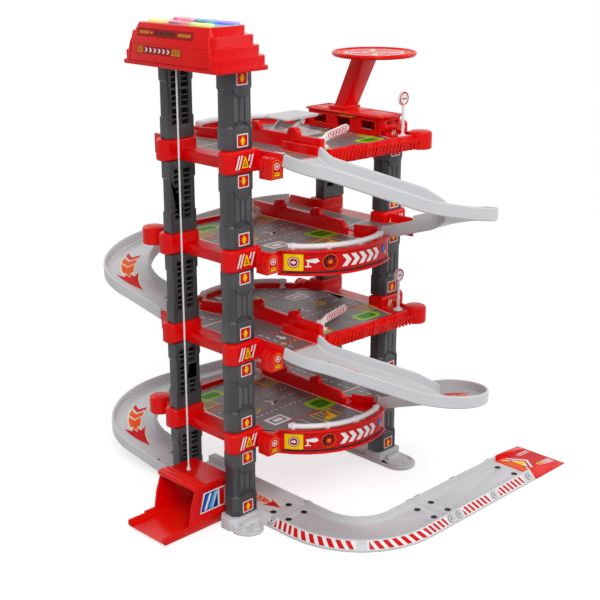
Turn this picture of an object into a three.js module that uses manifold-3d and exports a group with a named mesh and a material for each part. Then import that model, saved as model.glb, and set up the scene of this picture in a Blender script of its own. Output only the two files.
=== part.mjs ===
// Toy parking garage: four moulded decks on four columns of stacked posts, a lift that
// hangs on a cord from a winch tower, spiral ramps between the decks and a clip-on track.
// Millimetres, +Z up. The origin is the middle of the footprint, on the floor.
import * as THREE from "three";
import { mergeVertices } from "three/addons/utils/BufferGeometryUtils.js";
import Module from "manifold-3d";

const wasm = await Module();
wasm.setup();

// Driving sizes
const columnSpacingX = 219;
const columnSpacingY = 88;
const levelHeight = 95;
const towerStoreyHeight = 85;
const levelCount = 4;
const fit = 0.3;
const cutOverrun = 2;
const quarterTurn = 90;
const halfTurn = 180;
const fullTurn = 360;
const pinSides = 8;
const tubeSides = 6;
const tubeArcSteps = 6;
const earArcSteps = 4;
const drumSides = 14;
const flangeSides = 16;
const shaftSides = 10;

// Posts
const postWidth = 31;
const postDepth = 15;
const postChamfer = 3.5;
const postFootHeight = 22;
const postFootGrowth = 1.4;
const postHeadHeight = 18;
const spigotHeight = 7;
const spigotWidth = 20;
const spigotDepth = 7;
const ladderPitch = 17.5;
const ladderRung = 2.6;
const ladderDepth = 5;
const ladderChannel = 9;
const ladderWeb = 3;
const ladderMargin = 6;

// Decks
const deckFloor = 3;
const deckSkirt = 11;
const deckWall = 3;
const deckRim = 4;
const laneWidth = 46;
const laneWallHeight = 9;
const laneExitX = 66;
const laneEntryX = 78;
const laneEnd = 86;
const centreWallX = 28.5;
const centreWallThickness = 6;
const centreWallHeight = 14;
const centreWallBump = 7;
const wallBumpSteps = 3;
const wallBumpRearShare = 0.9;
const wallBumpFrontShare = 0.35;
const bannerRadius = 88;
const bannerX = 2.5;
const bannerY = 23;
const bannerDrop = 20;
const bannerRise = 5;
const bannerWall = 3.5;
const bannerLip = 2;
const bannerStartDegrees = 208;
const bannerEndDegrees = 297;
const bannerSteps = 9;
const collarRise = 11;
const collarOuter = 6;
const collarInner = 4;
const collarSide = 4.5;
const collarBevel = 2;
const hubWidth = 17;
const hubDepth = 15;
const hubRise = 6;
const hubDrop = 14;
const ribbedWallRise = 4;
const ribbedWallThickness = 5;
const ribCount = 7;
const ribProud = 1.5;
const ribThickness = 1.4;
const knobRadius = 12;
const knobRise = 7;
const knobSides = 8;
const hubArcSteps = 4;

// Ramps
const rampFloor = 3;
const rampWall = 3.5;
const rampWallHeight = 10;
const rampLeadRadius = 40;
const rampLeadTurn = 41;
const rampLoopRadius = 49;
const rampExitHeading = 100;
const rampArcStep = 14;

// Ground track
const trackLane = 45;
const trackShoulder = 10;
const trackFloor = 4;
const trackEdge = 10;
const trackToe = 2;
const trackCurveRadius = 67.5;
const trackSeamY = 68;
const trackCurveY = 104;
const trackSeamX = 44.5;
const trackStraight = 142;
const trackRamp = 58;
const socketRadius = 2.2;
const socketDepth = 2;
const socketInsetShare = 0.25;
const socketSides = 6;
const trackCurveSteps = 8;

// Feet
const footHeight = 13;
const footFlangeRadius = 30;
const footFlangeHeight = 4;
const footFlangeShare = 0.7;
const footFlangeSteps = 10;
const footReach = 24;
const footKnobRadius = 3;
const baseWidth = 37;
const baseLength = 178;
const basePlate = 5;
const baseBevel = 1.2;
const baseArcSteps = 7;
const basePadHeight = 8;

// Guard rail
const railInset = 4;
const railTube = 2.8;
const railHeight = 8.2;
const railPost = 2.2;
const railSteps = 9;
const railStartDegrees = 6;
const railEndDegrees = 5;
const railFootShares = [0.04, 0.35, 0.65, 0.96];

// Barrier and sign
const barrierX = 13.5;
const barrierY = 62;
const barrierBaseWidth = 12;
const barrierBaseDepth = 9;
const barrierBaseHeight = 4;
const barrierEar = 2;
const barrierPivotHeight = 9;
const barrierPinRadius = 1.3;
const barrierArmLength = 40;
const barrierArmDepth = 2.4;
const barrierArmHeight = 8;
const barrierRest = 10;
const barrierHeelShare = 0.25;
const signX = 97;
const signY = 73;
const signBaseRadius = 5.5;
const signBaseHeight = 2;
const signBaseShare = 0.8;
const signPostRadius = 1.5;
const signHeight = 47;
const signDiscRadius = 7.5;
const signDiscThickness = 2;

// Lift
const cabLength = 90;
const cabInset = 2;
const cabWidth = 58;
const cabWall = 2.4;
const cabFloor = 2.5;
const cabClearance = 1.5;
const cabHeight = 50;
const cabRoof = 3;
const cabRoofLength = 49;
const cabSill = 10;
const cabBar = 3.5;
const cabBarShare = 0.6;
const cabBarCount = 2;
const cabShoe = 3;
const cabShoeWidth = 7;
const shoeGap = 0.5;
const cabShoeHeight = 12;
const cabWindowLow = 18;
const cabWindowHigh = 41;
const windowRecessShare = 1 / 3;
const cordX = 143;
const cordRadius = 0.9;
const eyeRadius = 3;
const eyeThickness = 2;
const liftGap = 0.8;

// Winch tower
const towerMiddleX = 120.5;
const towerFlangeX = 66;
const towerFlangeY = 140;
const towerFlange = 4;
const towerTierX = 64;
const towerTierY = 134;
const towerTier = 9;
const towerTierCount = 3;
const towerStepX = 4;
const towerStepY = 11;
const towerCapX = 48;
const towerCapY = 98;
const towerCap = 8;
const fasciaLength = 118;
const fasciaLean = 7;
const fasciaDepth = 14;
const towerShell = 2.5;
const towerSeat = 5;
const lensRise = 5;
const lensInset = 4;
const lensWell = 21;
const lensBevelShare = 0.25;
const lensGap = 1;
const drumRadius = 7;
const drumLength = 18;
const drumFlange = 2.5;
const drumFlangeThickness = 2;
const drumShaftRadius = 2.5;
const drumShaftLength = 34;
const motorRadius = 8.5;
const motorLength = 19;
const motorShaft = 2;

// Rooftop
const houseX = 77;
const houseWidth = 32;
const houseLength = 104;
const houseMiddleY = 8;
const houseWindow = 20;
const houseWindowHeight = 9;
const houseSill = 6;
const houseStep = 1;
const houseWall = 3;
const houseRoof = 3;
const houseEave = 2;
const houseWindowCount = 3;
const houseBevelShare = 1 / 3;
const frontWindowShares = [1 / 3, 7 / 8];
const padRadius = 44;
const padThickness = 4.5;
const padRim = 2.5;
const padY = 36;
const padX = 92;
const padHeight = 85;
const padSides = 22;
const armWidth = 22;
const armThickness = 10;
const armFootY = 14;
const armHeelShare = 0.25;

// Car hoist
const hoistX = 20;
const hoistY = 14;
const hoistLength = 56;
const hoistWidth = 34;
const hoistPlate = 3;
const hoistRampLength = 14;
const hoistLink = 18;
const hoistLinkThickness = 3.5;
const hoistLinkWidth = 5;
const hoistPinRadius = 1.2;
const hoistEar = 2.5;
const hoistDeck = 3;
const hoistRestDegrees = 35;
const hoistPivotShare = 0.25;
const hoistWebShares = [1 / 3, 2 / 3];

// Worked-out places
const halfX = columnSpacingX / 2;
const halfY = columnSpacingY / 2;
const cabEndX = halfX + cabInset;
const degree = Math.PI / 180;
const levelZ = (level) => level * levelHeight;
const towerZ = levelZ(levelCount) + towerStoreyHeight;

// Materials
function plastic(name, colour, roughness = 0.35) {
  return new THREE.MeshStandardMaterial({ name, color: colour, roughness, metalness: 0 });
}
const red = plastic("red_plastic", 0xe10c10);
const lightGrey = plastic("light_grey_plastic", 0xc9cbcd);
const darkGrey = plastic("dark_grey_plastic", 0x464648, 0.45);
const white = plastic("white_plastic", 0xf0f0f0);
const clear = plastic("lens_plastic", 0xf2c94c, 0.15);
const metal = new THREE.MeshStandardMaterial({ name: "motor_steel", color: 0x9a9ca0, metalness: 1 });
const thread = plastic("white_cord", 0xf4f4f4, 0.8);

// Solids from geometries, joined and cut
function solid(geometry) {
  const plain = geometry.index ? geometry.toNonIndexed() : geometry.clone();
  for (const name of Object.keys(plain.attributes)) {
    if (name !== "position") plain.deleteAttribute(name);
  }
  const merged = mergeVertices(plain, fit / 100);
  const corners = merged.index.array;
  const faces = [];
  for (let i = 0; i < corners.length; i += 3) {
    const [a, b, c] = corners.slice(i, i + 3);
    if (a !== b && b !== c && c !== a) faces.push(a, b, c);
  }
  return new wasm.Manifold(
    new wasm.Mesh({
      numProp: 3,
      vertProperties: new Float32Array(merged.attributes.position.array),
      triVerts: new Uint32Array(faces),
    }),
  );
}

function join(first, ...others) {
  return others.reduce((whole, other) => whole.add(other), first);
}

function cut(first, ...others) {
  return others.reduce((whole, other) => whole.subtract(other), first);
}

function block(x0, x1, y0, y1, z0, z1) {
  const geometry = new THREE.BoxGeometry(x1 - x0, y1 - y0, z1 - z0);
  geometry.translate((x0 + x1) / 2, (y0 + y1) / 2, (z0 + z1) / 2);
  return solid(geometry);
}

// A plan outline raised from z0 to z1, with an optional chamfer on its top and bottom edges.
function prism(points, z0, z1, chamfer = 0) {
  const shape = new THREE.Shape(points.map(([x, y]) => new THREE.Vector2(x, y)));
  const geometry = new THREE.ExtrudeGeometry(shape, {
    depth: z1 - z0 - 2 * chamfer,
    bevelEnabled: chamfer > 0,
    bevelThickness: chamfer,
    bevelSize: chamfer,
    bevelOffset: -chamfer,
    bevelSegments: 1,
    steps: 1,
  });
  geometry.translate(0, 0, z0 + chamfer);
  return solid(geometry);
}

// An outline in X and Z, pulled along Y from y0 to y1.
function profileXZ(points, y0, y1) {
  const shape = new THREE.Shape(points.map(([x, z]) => new THREE.Vector2(x, z)));
  const geometry = new THREE.ExtrudeGeometry(shape, { depth: y1 - y0, bevelEnabled: false });
  geometry.rotateX(Math.PI / 2);
  geometry.translate(0, y1, 0);
  return solid(geometry);
}

// An outline in Y and Z, pulled along X from x0 to x1.
function profileYZ(points, x0, x1) {
  const shape = new THREE.Shape(points.map(([y, z]) => new THREE.Vector2(y, z)));
  const geometry = new THREE.ExtrudeGeometry(shape, { depth: x1 - x0, bevelEnabled: false });
  geometry.rotateX(Math.PI / 2);
  geometry.rotateZ(Math.PI / 2);
  geometry.translate(x0, 0, 0);
  return solid(geometry);
}

function rod(x, y, z0, z1, radius, sides = 12) {
  const geometry = new THREE.CylinderGeometry(radius, radius, z1 - z0, sides);
  geometry.rotateX(Math.PI / 2);
  geometry.translate(x, y, (z0 + z1) / 2);
  return solid(geometry);
}

function rodY(x, z, y0, y1, radius, sides = 12) {
  const geometry = new THREE.CylinderGeometry(radius, radius, y1 - y0, sides);
  geometry.translate(x, (y0 + y1) / 2, z);
  return solid(geometry);
}

// A turned shape about the vertical through x, y: profile points are radius and height.
function turned(x, y, profile, sides = 16) {
  const geometry = new THREE.LatheGeometry(
    profile.map(([r, z]) => new THREE.Vector2(r, z)),
    sides,
  );
  geometry.rotateX(Math.PI / 2);
  geometry.translate(x, y, 0);
  return solid(geometry);
}

function arcPoints(x, y, radius, from, to, steps) {
  return Array.from({ length: steps + 1 }, (_, i) => {
    const angle = (from + ((to - from) * i) / steps) * degree;
    return [x + radius * Math.cos(angle), y + radius * Math.sin(angle)];
  });
}

// A wall of even thickness along a plan line, raised from z0 to z1.
function wallAlong(line, thickness, z0, z1) {
  const offset = (side) =>
    line.map(([x, y], i) => {
      const [ax, ay] = line[Math.max(i - 1, 0)];
      const [bx, by] = line[Math.min(i + 1, line.length - 1)];
      const length = Math.hypot(bx - ax, by - ay);
      const shift = (side * thickness) / 2 / length;
      return [x - (by - ay) * shift, y + (bx - ax) * shift];
    });
  return prism([...offset(-1), ...offset(1).reverse()], z0, z1);
}

// Closed rings joined one after another, with flat ends of a given outline. A ring runs
// counterclockwise for someone who looks along the way.
function loft(rings, outline) {
  const count = outline.length;
  const index = [];
  for (let i = 0; i + 1 < rings.length; i++) {
    for (let j = 0; j < count; j++) {
      const a = i * count + j;
      const b = i * count + ((j + 1) % count);
      index.push(a, b + count, b, a, a + count, b + count);
    }
  }
  const flat = outline.map(([u, v]) => new THREE.Vector2(u, v));
  const last = (rings.length - 1) * count;
  for (const [a, b, c] of THREE.ShapeUtils.triangulateShape(flat, [])) {
    index.push(a, b, c, last + a, last + c, last + b);
  }
  const geometry = new THREE.BufferGeometry();
  geometry.setAttribute("position", new THREE.Float32BufferAttribute(rings.flat(2), 3));
  geometry.setIndex(index);
  return solid(geometry);
}

// A section swept along stations, kept upright; section points are offsets to the right and up.
function sweep(stations, section) {
  const rings = stations.map(({ x, y, z, heading, sectionHere = section }) =>
    sectionHere.map(([u, v]) => [x + u * Math.sin(heading), y - u * Math.cos(heading), z + v]),
  );
  return loft(rings, section);
}

// The mesh of a solid
function piece(name, shape, material) {
  const { vertProperties, triVerts, numProp } = shape.getMesh();
  const positions = new Float32Array((vertProperties.length / numProp) * 3);
  for (let i = 0; i * numProp < vertProperties.length; i++) {
    positions.set(vertProperties.subarray(i * numProp, i * numProp + 3), i * 3);
  }
  const geometry = new THREE.BufferGeometry();
  geometry.setAttribute("position", new THREE.BufferAttribute(positions, 3));
  geometry.setIndex(new THREE.BufferAttribute(new Uint32Array(triVerts), 1));
  geometry.computeVertexNormals();
  const mesh = new THREE.Mesh(geometry, material);
  mesh.name = name;
  return mesh;
}

// One post: a chamfered box with a wider foot and head, a spigot on top, a pocket below and a
// ladder of pockets in the face that looks towards the other column of its pair.
function post(height) {
  const w = postWidth / 2;
  const d = postDepth / 2;
  const c = postChamfer;
  const g = postFootGrowth;
  const outline = [
    [-w, d],
    [-w, -d + c],
    [-w + c, -d],
    [w - c, -d],
    [w, -d + c],
    [w, d],
  ];
  const footOutline = [
    [-w - g, d],
    [-w - g, -d + c],
    [-w + c, -d - g],
    [w - c, -d - g],
    [w + g, -d + c],
    [w + g, d],
  ];
  const headFrom = height - postHeadHeight;
  const rings = [
    [height, footOutline],
    [headFrom + g, footOutline],
    [headFrom, outline],
    [postFootHeight, outline],
    [postFootHeight - g, footOutline],
    [0, footOutline],
  ];
  const shaft = loft(rings.map(([z, ring]) => ring.map(([x, y]) => [x, y, z])), outline);
  const spigot = block(
    -spigotWidth / 2, spigotWidth / 2, -spigotDepth / 2, spigotDepth / 2,
    height - cutOverrun, height + spigotHeight,
  );
  let body = join(shaft, spigot);
  const pocket = block(
    -spigotWidth / 2 - fit, spigotWidth / 2 + fit, -spigotDepth / 2 - fit, spigotDepth / 2 + fit,
    -cutOverrun, spigotHeight + fit,
  );
  body = cut(body, pocket);
  const run = height - 2 * ladderMargin - spigotHeight;
  const rungs = Math.max(2, Math.round(run / ladderPitch));
  const pitch = run / rungs;
  for (let i = 0; i < rungs; i++) {
    const low = spigotHeight + ladderMargin + i * pitch;
    for (const side of [-1, 1]) {
      const middle = side * (ladderWeb + ladderChannel) / 2;
      const hollow = block(
        middle - ladderChannel / 2, middle + ladderChannel / 2,
        d - ladderDepth, d + cutOverrun, low, low + pitch - ladderRung,
      );
      body = cut(body, hollow);
    }
  }
  return body;
}

// The collar of a deck round one column: flush on the face where the lift or the ladder is,
// proud on the other sides, with a stub above for the next post and a socket below.
function collar(sideX, sideY) {
  const outerX = halfX + postWidth / 2 + collarOuter;
  const innerX = halfX - postWidth / 2 - collarInner;
  const outerY = halfY + postDepth / 2 + collarSide;
  const innerY = halfY - postDepth / 2;
  const round = collarOuter;
  const outline = [
    [sideX * innerX, sideY * innerY],
    [sideX * (outerX - round), sideY * innerY],
    [sideX * outerX, sideY * (innerY + round)],
    [sideX * outerX, sideY * (outerY - round)],
    [sideX * (outerX - round), sideY * outerY],
    [sideX * innerX, sideY * outerY],
  ];
  if (sideX * sideY < 0) outline.reverse();
  const body = prism(outline, -collarRise, collarRise, collarBevel);
  const x = sideX * halfX;
  const y = sideY * halfY;
  const w = spigotWidth / 2;
  const d = spigotDepth / 2;
  const stub = block(x - w, x + w, y - d, y + d, 0, collarRise + spigotHeight);
  const socket = block(
    x - w - fit, x + w + fit, y - d - fit, y + d + fit,
    -collarRise - cutOverrun, -collarRise + spigotHeight + fit,
  );
  return { body: body.add(stub), socket };
}

// An arched boss on the edge of a deck, facing along Y.
function hub(x, y) {
  const r = hubWidth / 2;
  const arch = arcPoints(x, hubRise - r, r, 0, halfTurn, hubArcSteps);
  return profileXZ([...arch, [x - r, -hubDrop], [x + r, -hubDrop]], y - hubDepth / 2, y + hubDepth / 2);
}

// The tall wall between the parking bay and the lane, with two arched bumps on its top.
function centreWall() {
  const front = -halfY - postDepth;
  const back = laneEnd - hubDepth / 2;
  const top = centreWallHeight;
  const bump = (middle) => arcPoints(middle, top, centreWallBump, halfTurn, 0, wallBumpSteps);
  const outline = [
    [front, -deckSkirt],
    [back, -deckSkirt],
    [back, top],
    ...bump(halfY * wallBumpRearShare).reverse(),
    ...bump(-halfY * wallBumpFrontShare).reverse(),
    [front + centreWallBump, top],
    [front, top - centreWallBump],
  ];
  return profileYZ(
    outline, centreWallX - centreWallThickness / 2, centreWallX + centreWallThickness / 2,
  );
}

// One deck, with its top at zero and its half-round front towards -Y. Every other deck is
// the same moulding turned half round.
function deck() {
  const low = -deckSkirt;
  const wall = deckWall;
  const bayEdge = halfX - postWidth / 2;
  const innerCollarY = halfY - postDepth / 2;
  const outerCollarY = halfY + postDepth / 2;
  const laneLeft = laneExitX - laneWidth / 2 - wall;
  const laneRight = laneExitX + laneWidth / 2 + wall;
  const entryLeft = laneEntryX - laneWidth / 2 - wall;
  const entryRight = laneEntryX + laneWidth / 2 + wall;
  const arc = arcPoints(bannerX, -bannerY, bannerRadius, bannerStartDegrees, bannerEndDegrees, bannerSteps);
  const bannerStart = arc[0];
  const bannerEnd = arc[bannerSteps];
  const ribbedFrom = [centreWallX - wall, laneEnd - wall];
  const ribbedTo = [-halfX + wall, laneEnd + knobRadius];
  const knobX = -halfX + wall;
  const knobY = laneEnd + wall;
  const floorZ = -deckFloor;
  const liftEdge = cabEndX - liftGap;

  const floors = join(
    prism([...arc, [bannerEnd[0], -innerCollarY], [-bayEdge, -innerCollarY]], floorZ, 0),
    block(-liftEdge, liftEdge, -innerCollarY, innerCollarY, floorZ, 0),
    prism(
      [
        [entryLeft, -laneEnd],
        [entryRight, -laneEnd],
        [entryRight, -outerCollarY - collarSide],
        [bayEdge, -innerCollarY + wall],
        [laneLeft, -innerCollarY + wall],
      ],
      floorZ, 0,
    ),
    block(laneLeft, laneRight, innerCollarY - wall, laneEnd, floorZ, 0),
    prism(
      [
        [centreWallX, innerCollarY - wall],
        [centreWallX, ribbedFrom[1]],
        ribbedFrom,
        ribbedTo,
        [-bayEdge - wall, innerCollarY - wall],
      ],
      floorZ, 0,
    ),
  );

  // The banner's section has a lip along its lower and its upper edge.
  const half = bannerWall / 2;
  const bannerStep = (bannerEndDegrees - bannerStartDegrees) / bannerSteps;
  const bannerStations = arc.map(([x, y], i) => ({
    x,
    y,
    z: 0,
    heading: (bannerStartDegrees + quarterTurn + bannerStep * i) * degree,
  }));
  const banner = sweep(bannerStations, [
    [-half, -bannerDrop],
    [half + bannerLip, -bannerDrop],
    [half + bannerLip, -bannerDrop + bannerLip],
    [half, -bannerDrop + bannerLip],
    [half, bannerRise - bannerLip],
    [half + bannerLip, bannerRise - bannerLip],
    [half + bannerLip, bannerRise],
    [-half, bannerRise],
  ]);

  const entryCorner = [entryLeft - wall, -laneEnd + wall];
  const frontHub = [bannerStart[0] - hubWidth, bannerStart[1] - wall];
  const backHub = [laneRight + hubWidth / 2 - wall, laneEnd - hubDepth / 2];
  const walls = join(
    wallAlong([[-bayEdge, -outerCollarY], frontHub], wall, low, deckRim),
    wallAlong([frontHub, bannerStart], wall, low, deckRim),
    wallAlong([bannerEnd, entryCorner], wall, low, deckRim),
    wallAlong([entryCorner, [laneLeft, -halfY - postDepth]], wall, low, laneWallHeight),
    block(entryRight - wall, entryRight, -laneEnd, -outerCollarY, low, laneWallHeight),
    block(laneLeft, laneLeft + wall, innerCollarY, laneEnd, low, laneWallHeight),
    block(laneRight - wall, laneRight, outerCollarY, laneEnd, low, laneWallHeight),
    block(-liftEdge, -liftEdge + wall, -innerCollarY, innerCollarY, low, 0),
    block(liftEdge - wall, liftEdge, -innerCollarY, innerCollarY, low, 0),
    wallAlong([[-halfX, outerCollarY], [knobX, knobY]], wall, low, deckRim),
    centreWall(),
    hub(frontHub[0], frontHub[1]),
    hub(backHub[0], backHub[1]),
  );

  // The slanted back wall has upright ribs on its outer face, drawn as teeth in its outline.
  const ribbedX = knobX - ribbedFrom[0];
  const ribbedY = knobY - ribbedFrom[1];
  const ribbedLength = Math.hypot(ribbedX, ribbedY);
  const alongWall = (distance, outward) => [
    ribbedFrom[0] + (ribbedX * distance + ribbedY * outward) / ribbedLength,
    ribbedFrom[1] + (ribbedY * distance - ribbedX * outward) / ribbedLength,
  ];
  const outside = ribbedWallThickness / 2;
  const teeth = Array.from({ length: ribCount }, (_, i) => {
    const middle = (ribbedLength * (i + 1)) / (ribCount + 1);
    return [
      alongWall(middle - ribThickness / 2, outside),
      alongWall(middle - ribThickness / 2, outside + ribProud),
      alongWall(middle + ribThickness / 2, outside + ribProud),
      alongWall(middle + ribThickness / 2, outside),
    ];
  }).flat();
  const ribbedWall = prism(
    [
      alongWall(0, -outside),
      alongWall(0, outside),
      ...teeth,
      alongWall(ribbedLength, outside),
      alongWall(ribbedLength, -outside),
    ],
    low, ribbedWallRise,
  );
  const knob = turned(knobX, knobY, [
    [0, low],
    [knobRadius, low],
    [knobRadius, knobRise - collarBevel],
    [knobRadius - collarBevel, knobRise],
    [0, knobRise],
  ], knobSides);

  const collars = [[-1, -1], [1, -1], [-1, 1], [1, 1]].map(([sx, sy]) => collar(sx, sy));
  let body = join(floors, banner, walls, ribbedWall, knob);
  // The mouths of the lanes stay open at both ends.
  const clearEntry = block(
    entryLeft + wall, entryRight - wall, -laneEnd - cutOverrun, -outerCollarY - collarSide,
    0, centreWallHeight,
  );
  body = cut(body, clearEntry);
  body = join(body, ...collars.map((c) => c.body));
  return cut(body, ...collars.map((c) => c.socket));
}

// A ramp: a channel that leaves a deck at the lane exit, swings out, loops round and comes
// back in at the lane entry one level below, at an even slope.
function rampPath(zTop, zBottom) {
  const lead = rampLeadTurn * degree;
  const legHeading = -quarterTurn * degree + lead;
  const exitHeading = rampExitHeading * degree;
  const start = [-laneExitX, -laneEnd - fit];
  const end = [laneEntryX, -laneEnd - fit];
  const leadShift = [rampLeadRadius * (1 - Math.cos(lead)), -rampLeadRadius * Math.sin(lead)];
  const loopShift = [
    rampLoopRadius * (Math.sin(exitHeading) - Math.sin(legHeading)),
    rampLoopRadius * (Math.cos(legHeading) - Math.cos(exitHeading)),
  ];
  const gapX = end[0] - start[0] - leadShift[0] - loopShift[0];
  const gapY = end[1] - start[1] - leadShift[1] - loopShift[1];
  const cross = Math.cos(legHeading) * Math.sin(exitHeading) - Math.sin(legHeading) * Math.cos(exitHeading);
  const legLength = (gapX * Math.sin(exitHeading) - gapY * Math.cos(exitHeading)) / cross;
  const backLength = (gapY * Math.cos(legHeading) - gapX * Math.sin(legHeading)) / cross;

  const stations = [{ x: start[0], y: start[1], heading: -quarterTurn * degree, run: 0 }];
  const last = () => stations[stations.length - 1];
  const straight = (length) => {
    const { x, y, heading, run } = last();
    const aheadX = x + length * Math.cos(heading);
    const aheadY = y + length * Math.sin(heading);
    stations.push({ x: aheadX, y: aheadY, heading, run: run + length });
  };
  const bend = (radius, to) => {
    const { x, y, heading, run } = last();
    const turn = to - heading;
    const steps = Math.ceil(turn / degree / rampArcStep);
    for (let i = 1; i <= steps; i++) {
      const h = heading + (turn * i) / steps;
      stations.push({
        x: x + radius * (Math.sin(h) - Math.sin(heading)),
        y: y + radius * (Math.cos(heading) - Math.cos(h)),
        heading: h,
        run: run + (radius * turn * i) / steps,
      });
    }
  };
  bend(rampLeadRadius, legHeading);
  straight(legLength);
  bend(rampLoopRadius, exitHeading);
  straight(backLength);
  const total = last().run;
  return stations.map((s) => ({ ...s, z: zTop + ((zBottom - zTop) * s.run) / total }));
}

function ramp(zTop, zBottom) {
  const w = laneWidth / 2;
  const outer = w + rampWall;
  const section = [
    [-outer, -rampFloor],
    [outer, -rampFloor],
    [outer, rampWallHeight],
    [w, rampWallHeight],
    [w, 0],
    [-w, 0],
    [-w, rampWallHeight],
    [-outer, rampWallHeight],
  ];
  const path = rampPath(zTop, zBottom);
  // The end sections turn square to the decks that they meet.
  const exit = path[path.length - 1];
  exit.heading = quarterTurn * degree;
  exit.z = zBottom;
  return sweep(path, section);
}

// The section of the ground track: a sunk lane between two sloped shoulders.
function trackSection(scale = 1) {
  const lane = trackLane / 2;
  const rim = lane + trackFloor / 2;
  const toe = lane + trackShoulder;
  const top = trackFloor + (trackEdge - trackFloor) * scale;
  return [
    [-toe, 0],
    [toe, 0],
    [toe, trackToe * scale],
    [rim, top],
    [lane, top],
    [lane, trackFloor * scale],
    [-lane, trackFloor * scale],
    [-lane, top],
    [-rim, top],
    [-toe, trackToe * scale],
  ];
}

// Round connector sockets sunk in the lane near an end.
function connectorSockets(places) {
  const low = trackFloor - socketDepth;
  return places.map(([x, y]) => rod(x, y, low, trackFloor + cutOverrun, socketRadius, socketSides));
}

const landingStart = halfY + postDepth / 2 + footReach / 2;

function groundLane() {
  const x = -laneExitX;
  const top = laneEnd - fit;
  const start = landingStart;
  const main = sweep(
    [
      { x, y: start, z: 0, heading: -quarterTurn * degree },
      { x, y: -trackSeamY, z: 0, heading: -quarterTurn * degree },
    ],
    trackSection(),
  );
  const wideLeft = -laneEntryX - laneWidth / 2 - rampWall;
  const wideRight = x + trackLane / 2 + trackShoulder;
  const landing = cut(
    block(wideLeft, wideRight, start - cutOverrun, top, 0, trackEdge),
    block(
      -laneEntryX - laneWidth / 2, x + trackLane / 2, start - 2 * cutOverrun, top + cutOverrun,
      trackFloor, trackEdge + cutOverrun,
    ),
  );
  const inset = trackLane * socketInsetShare;
  const sockets = connectorSockets([[x - inset, -trackSeamY + inset], [x + inset, -trackSeamY + inset]]);
  return cut(join(main, landing), ...sockets);
}

function trackCurve() {
  const x = -laneExitX;
  const radius = trackCurveRadius;
  const steps = trackCurveSteps;
  const stations = [{ x, y: -trackSeamY - fit, z: 0, heading: -quarterTurn * degree }];
  for (let i = 0; i <= steps; i++) {
    const angle = ((quarterTurn * i) / steps) * degree;
    stations.push({
      x: x + radius * (1 - Math.cos(angle)),
      y: -trackCurveY - radius * Math.sin(angle),
      z: 0,
      heading: -quarterTurn * degree + angle,
    });
  }
  stations.push({ x: trackSeamX, y: -trackCurveY - radius, z: 0, heading: 0 });
  const inset = trackLane * socketInsetShare;
  const y = -trackCurveY - radius;
  const sockets = connectorSockets([
    [x - inset, -trackSeamY - inset],
    [x + inset, -trackSeamY - inset],
    [trackSeamX - inset, y - inset],
    [trackSeamX - inset, y + inset],
  ]);
  return cut(sweep(stations, trackSection()), ...sockets);
}

function trackStraightPiece() {
  const y = -trackCurveY - trackCurveRadius;
  const from = trackSeamX + fit;
  const to = trackSeamX + trackStraight;
  const inset = trackLane * socketInsetShare;
  const sockets = connectorSockets([
    [from + inset, y - inset], [from + inset, y + inset], [to - inset, y - inset], [to - inset, y + inset],
  ]);
  const stations = [{ x: from, y, z: 0, heading: 0 }, { x: to, y, z: 0, heading: 0 }];
  return cut(sweep(stations, trackSection()), ...sockets);
}

// The last piece of track slopes down to the floor.
function trackEnd() {
  const y = -trackCurveY - trackCurveRadius;
  const from = trackSeamX + trackStraight + fit;
  const to = from + trackRamp;
  const toe = trackSection().map(([u, v]) => [u, Math.min(v, trackToe / 2)]);
  const stations = [
    { x: from, y, z: 0, heading: 0 },
    { x: from + trackShoulder, y, z: 0, heading: 0 },
    { x: to, y, z: 0, heading: 0, sectionHere: toe },
  ];
  return sweep(stations, trackSection());
}

// The foot of a lift column: a block that takes the lowest post, with a half-round flange.
function foot(side) {
  const inner = laneExitX + trackLane / 2 + trackShoulder + fit;
  const outerX = halfX + footReach;
  const y = side * halfY;
  const reach = postDepth / 2 + collarSide;
  const bevel = footKnobRadius * 2;
  const body = prism(
    [
      [-inner, y - reach],
      [-inner, y + reach],
      [-outerX + bevel, y + reach],
      [-outerX, y + reach - bevel],
      [-outerX, y - reach + bevel],
      [-outerX + bevel, y - reach],
    ],
    0, footHeight,
  );
  const middleX = -(outerX + inner) / 2;
  const halfSpan = (outerX - inner) / 2;
  const outward = side * (reach - fit);
  const flangeArc = arcPoints(0, 0, footFlangeRadius, 0, halfTurn, footFlangeSteps);
  const flange = prism(
    flangeArc.map(([u, v]) => [
      middleX + (u * halfSpan) / footFlangeRadius, y + outward + side * v * footFlangeShare,
    ]),
    0, footFlangeHeight,
  );
  const stub = block(
    -halfX - spigotWidth / 2, -halfX + spigotWidth / 2 - cutOverrun,
    y - spigotDepth / 2, y + spigotDepth / 2,
    0, footHeight + spigotHeight,
  );
  const knobs = [-1, 1].map((s) =>
    rod(
      middleX + (s * halfSpan) / 2, y + side * (reach + 2 * footKnobRadius),
      0, footFlangeHeight + footKnobRadius, footKnobRadius, pinSides,
    ));
  const landing = block(
    -laneEntryX - laneWidth / 2 - rampWall - fit, 0, landingStart - cutOverrun - fit, laneEnd,
    -cutOverrun, footHeight,
  );
  return cut(join(body, flange, stub, ...knobs), landing);
}

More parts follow.
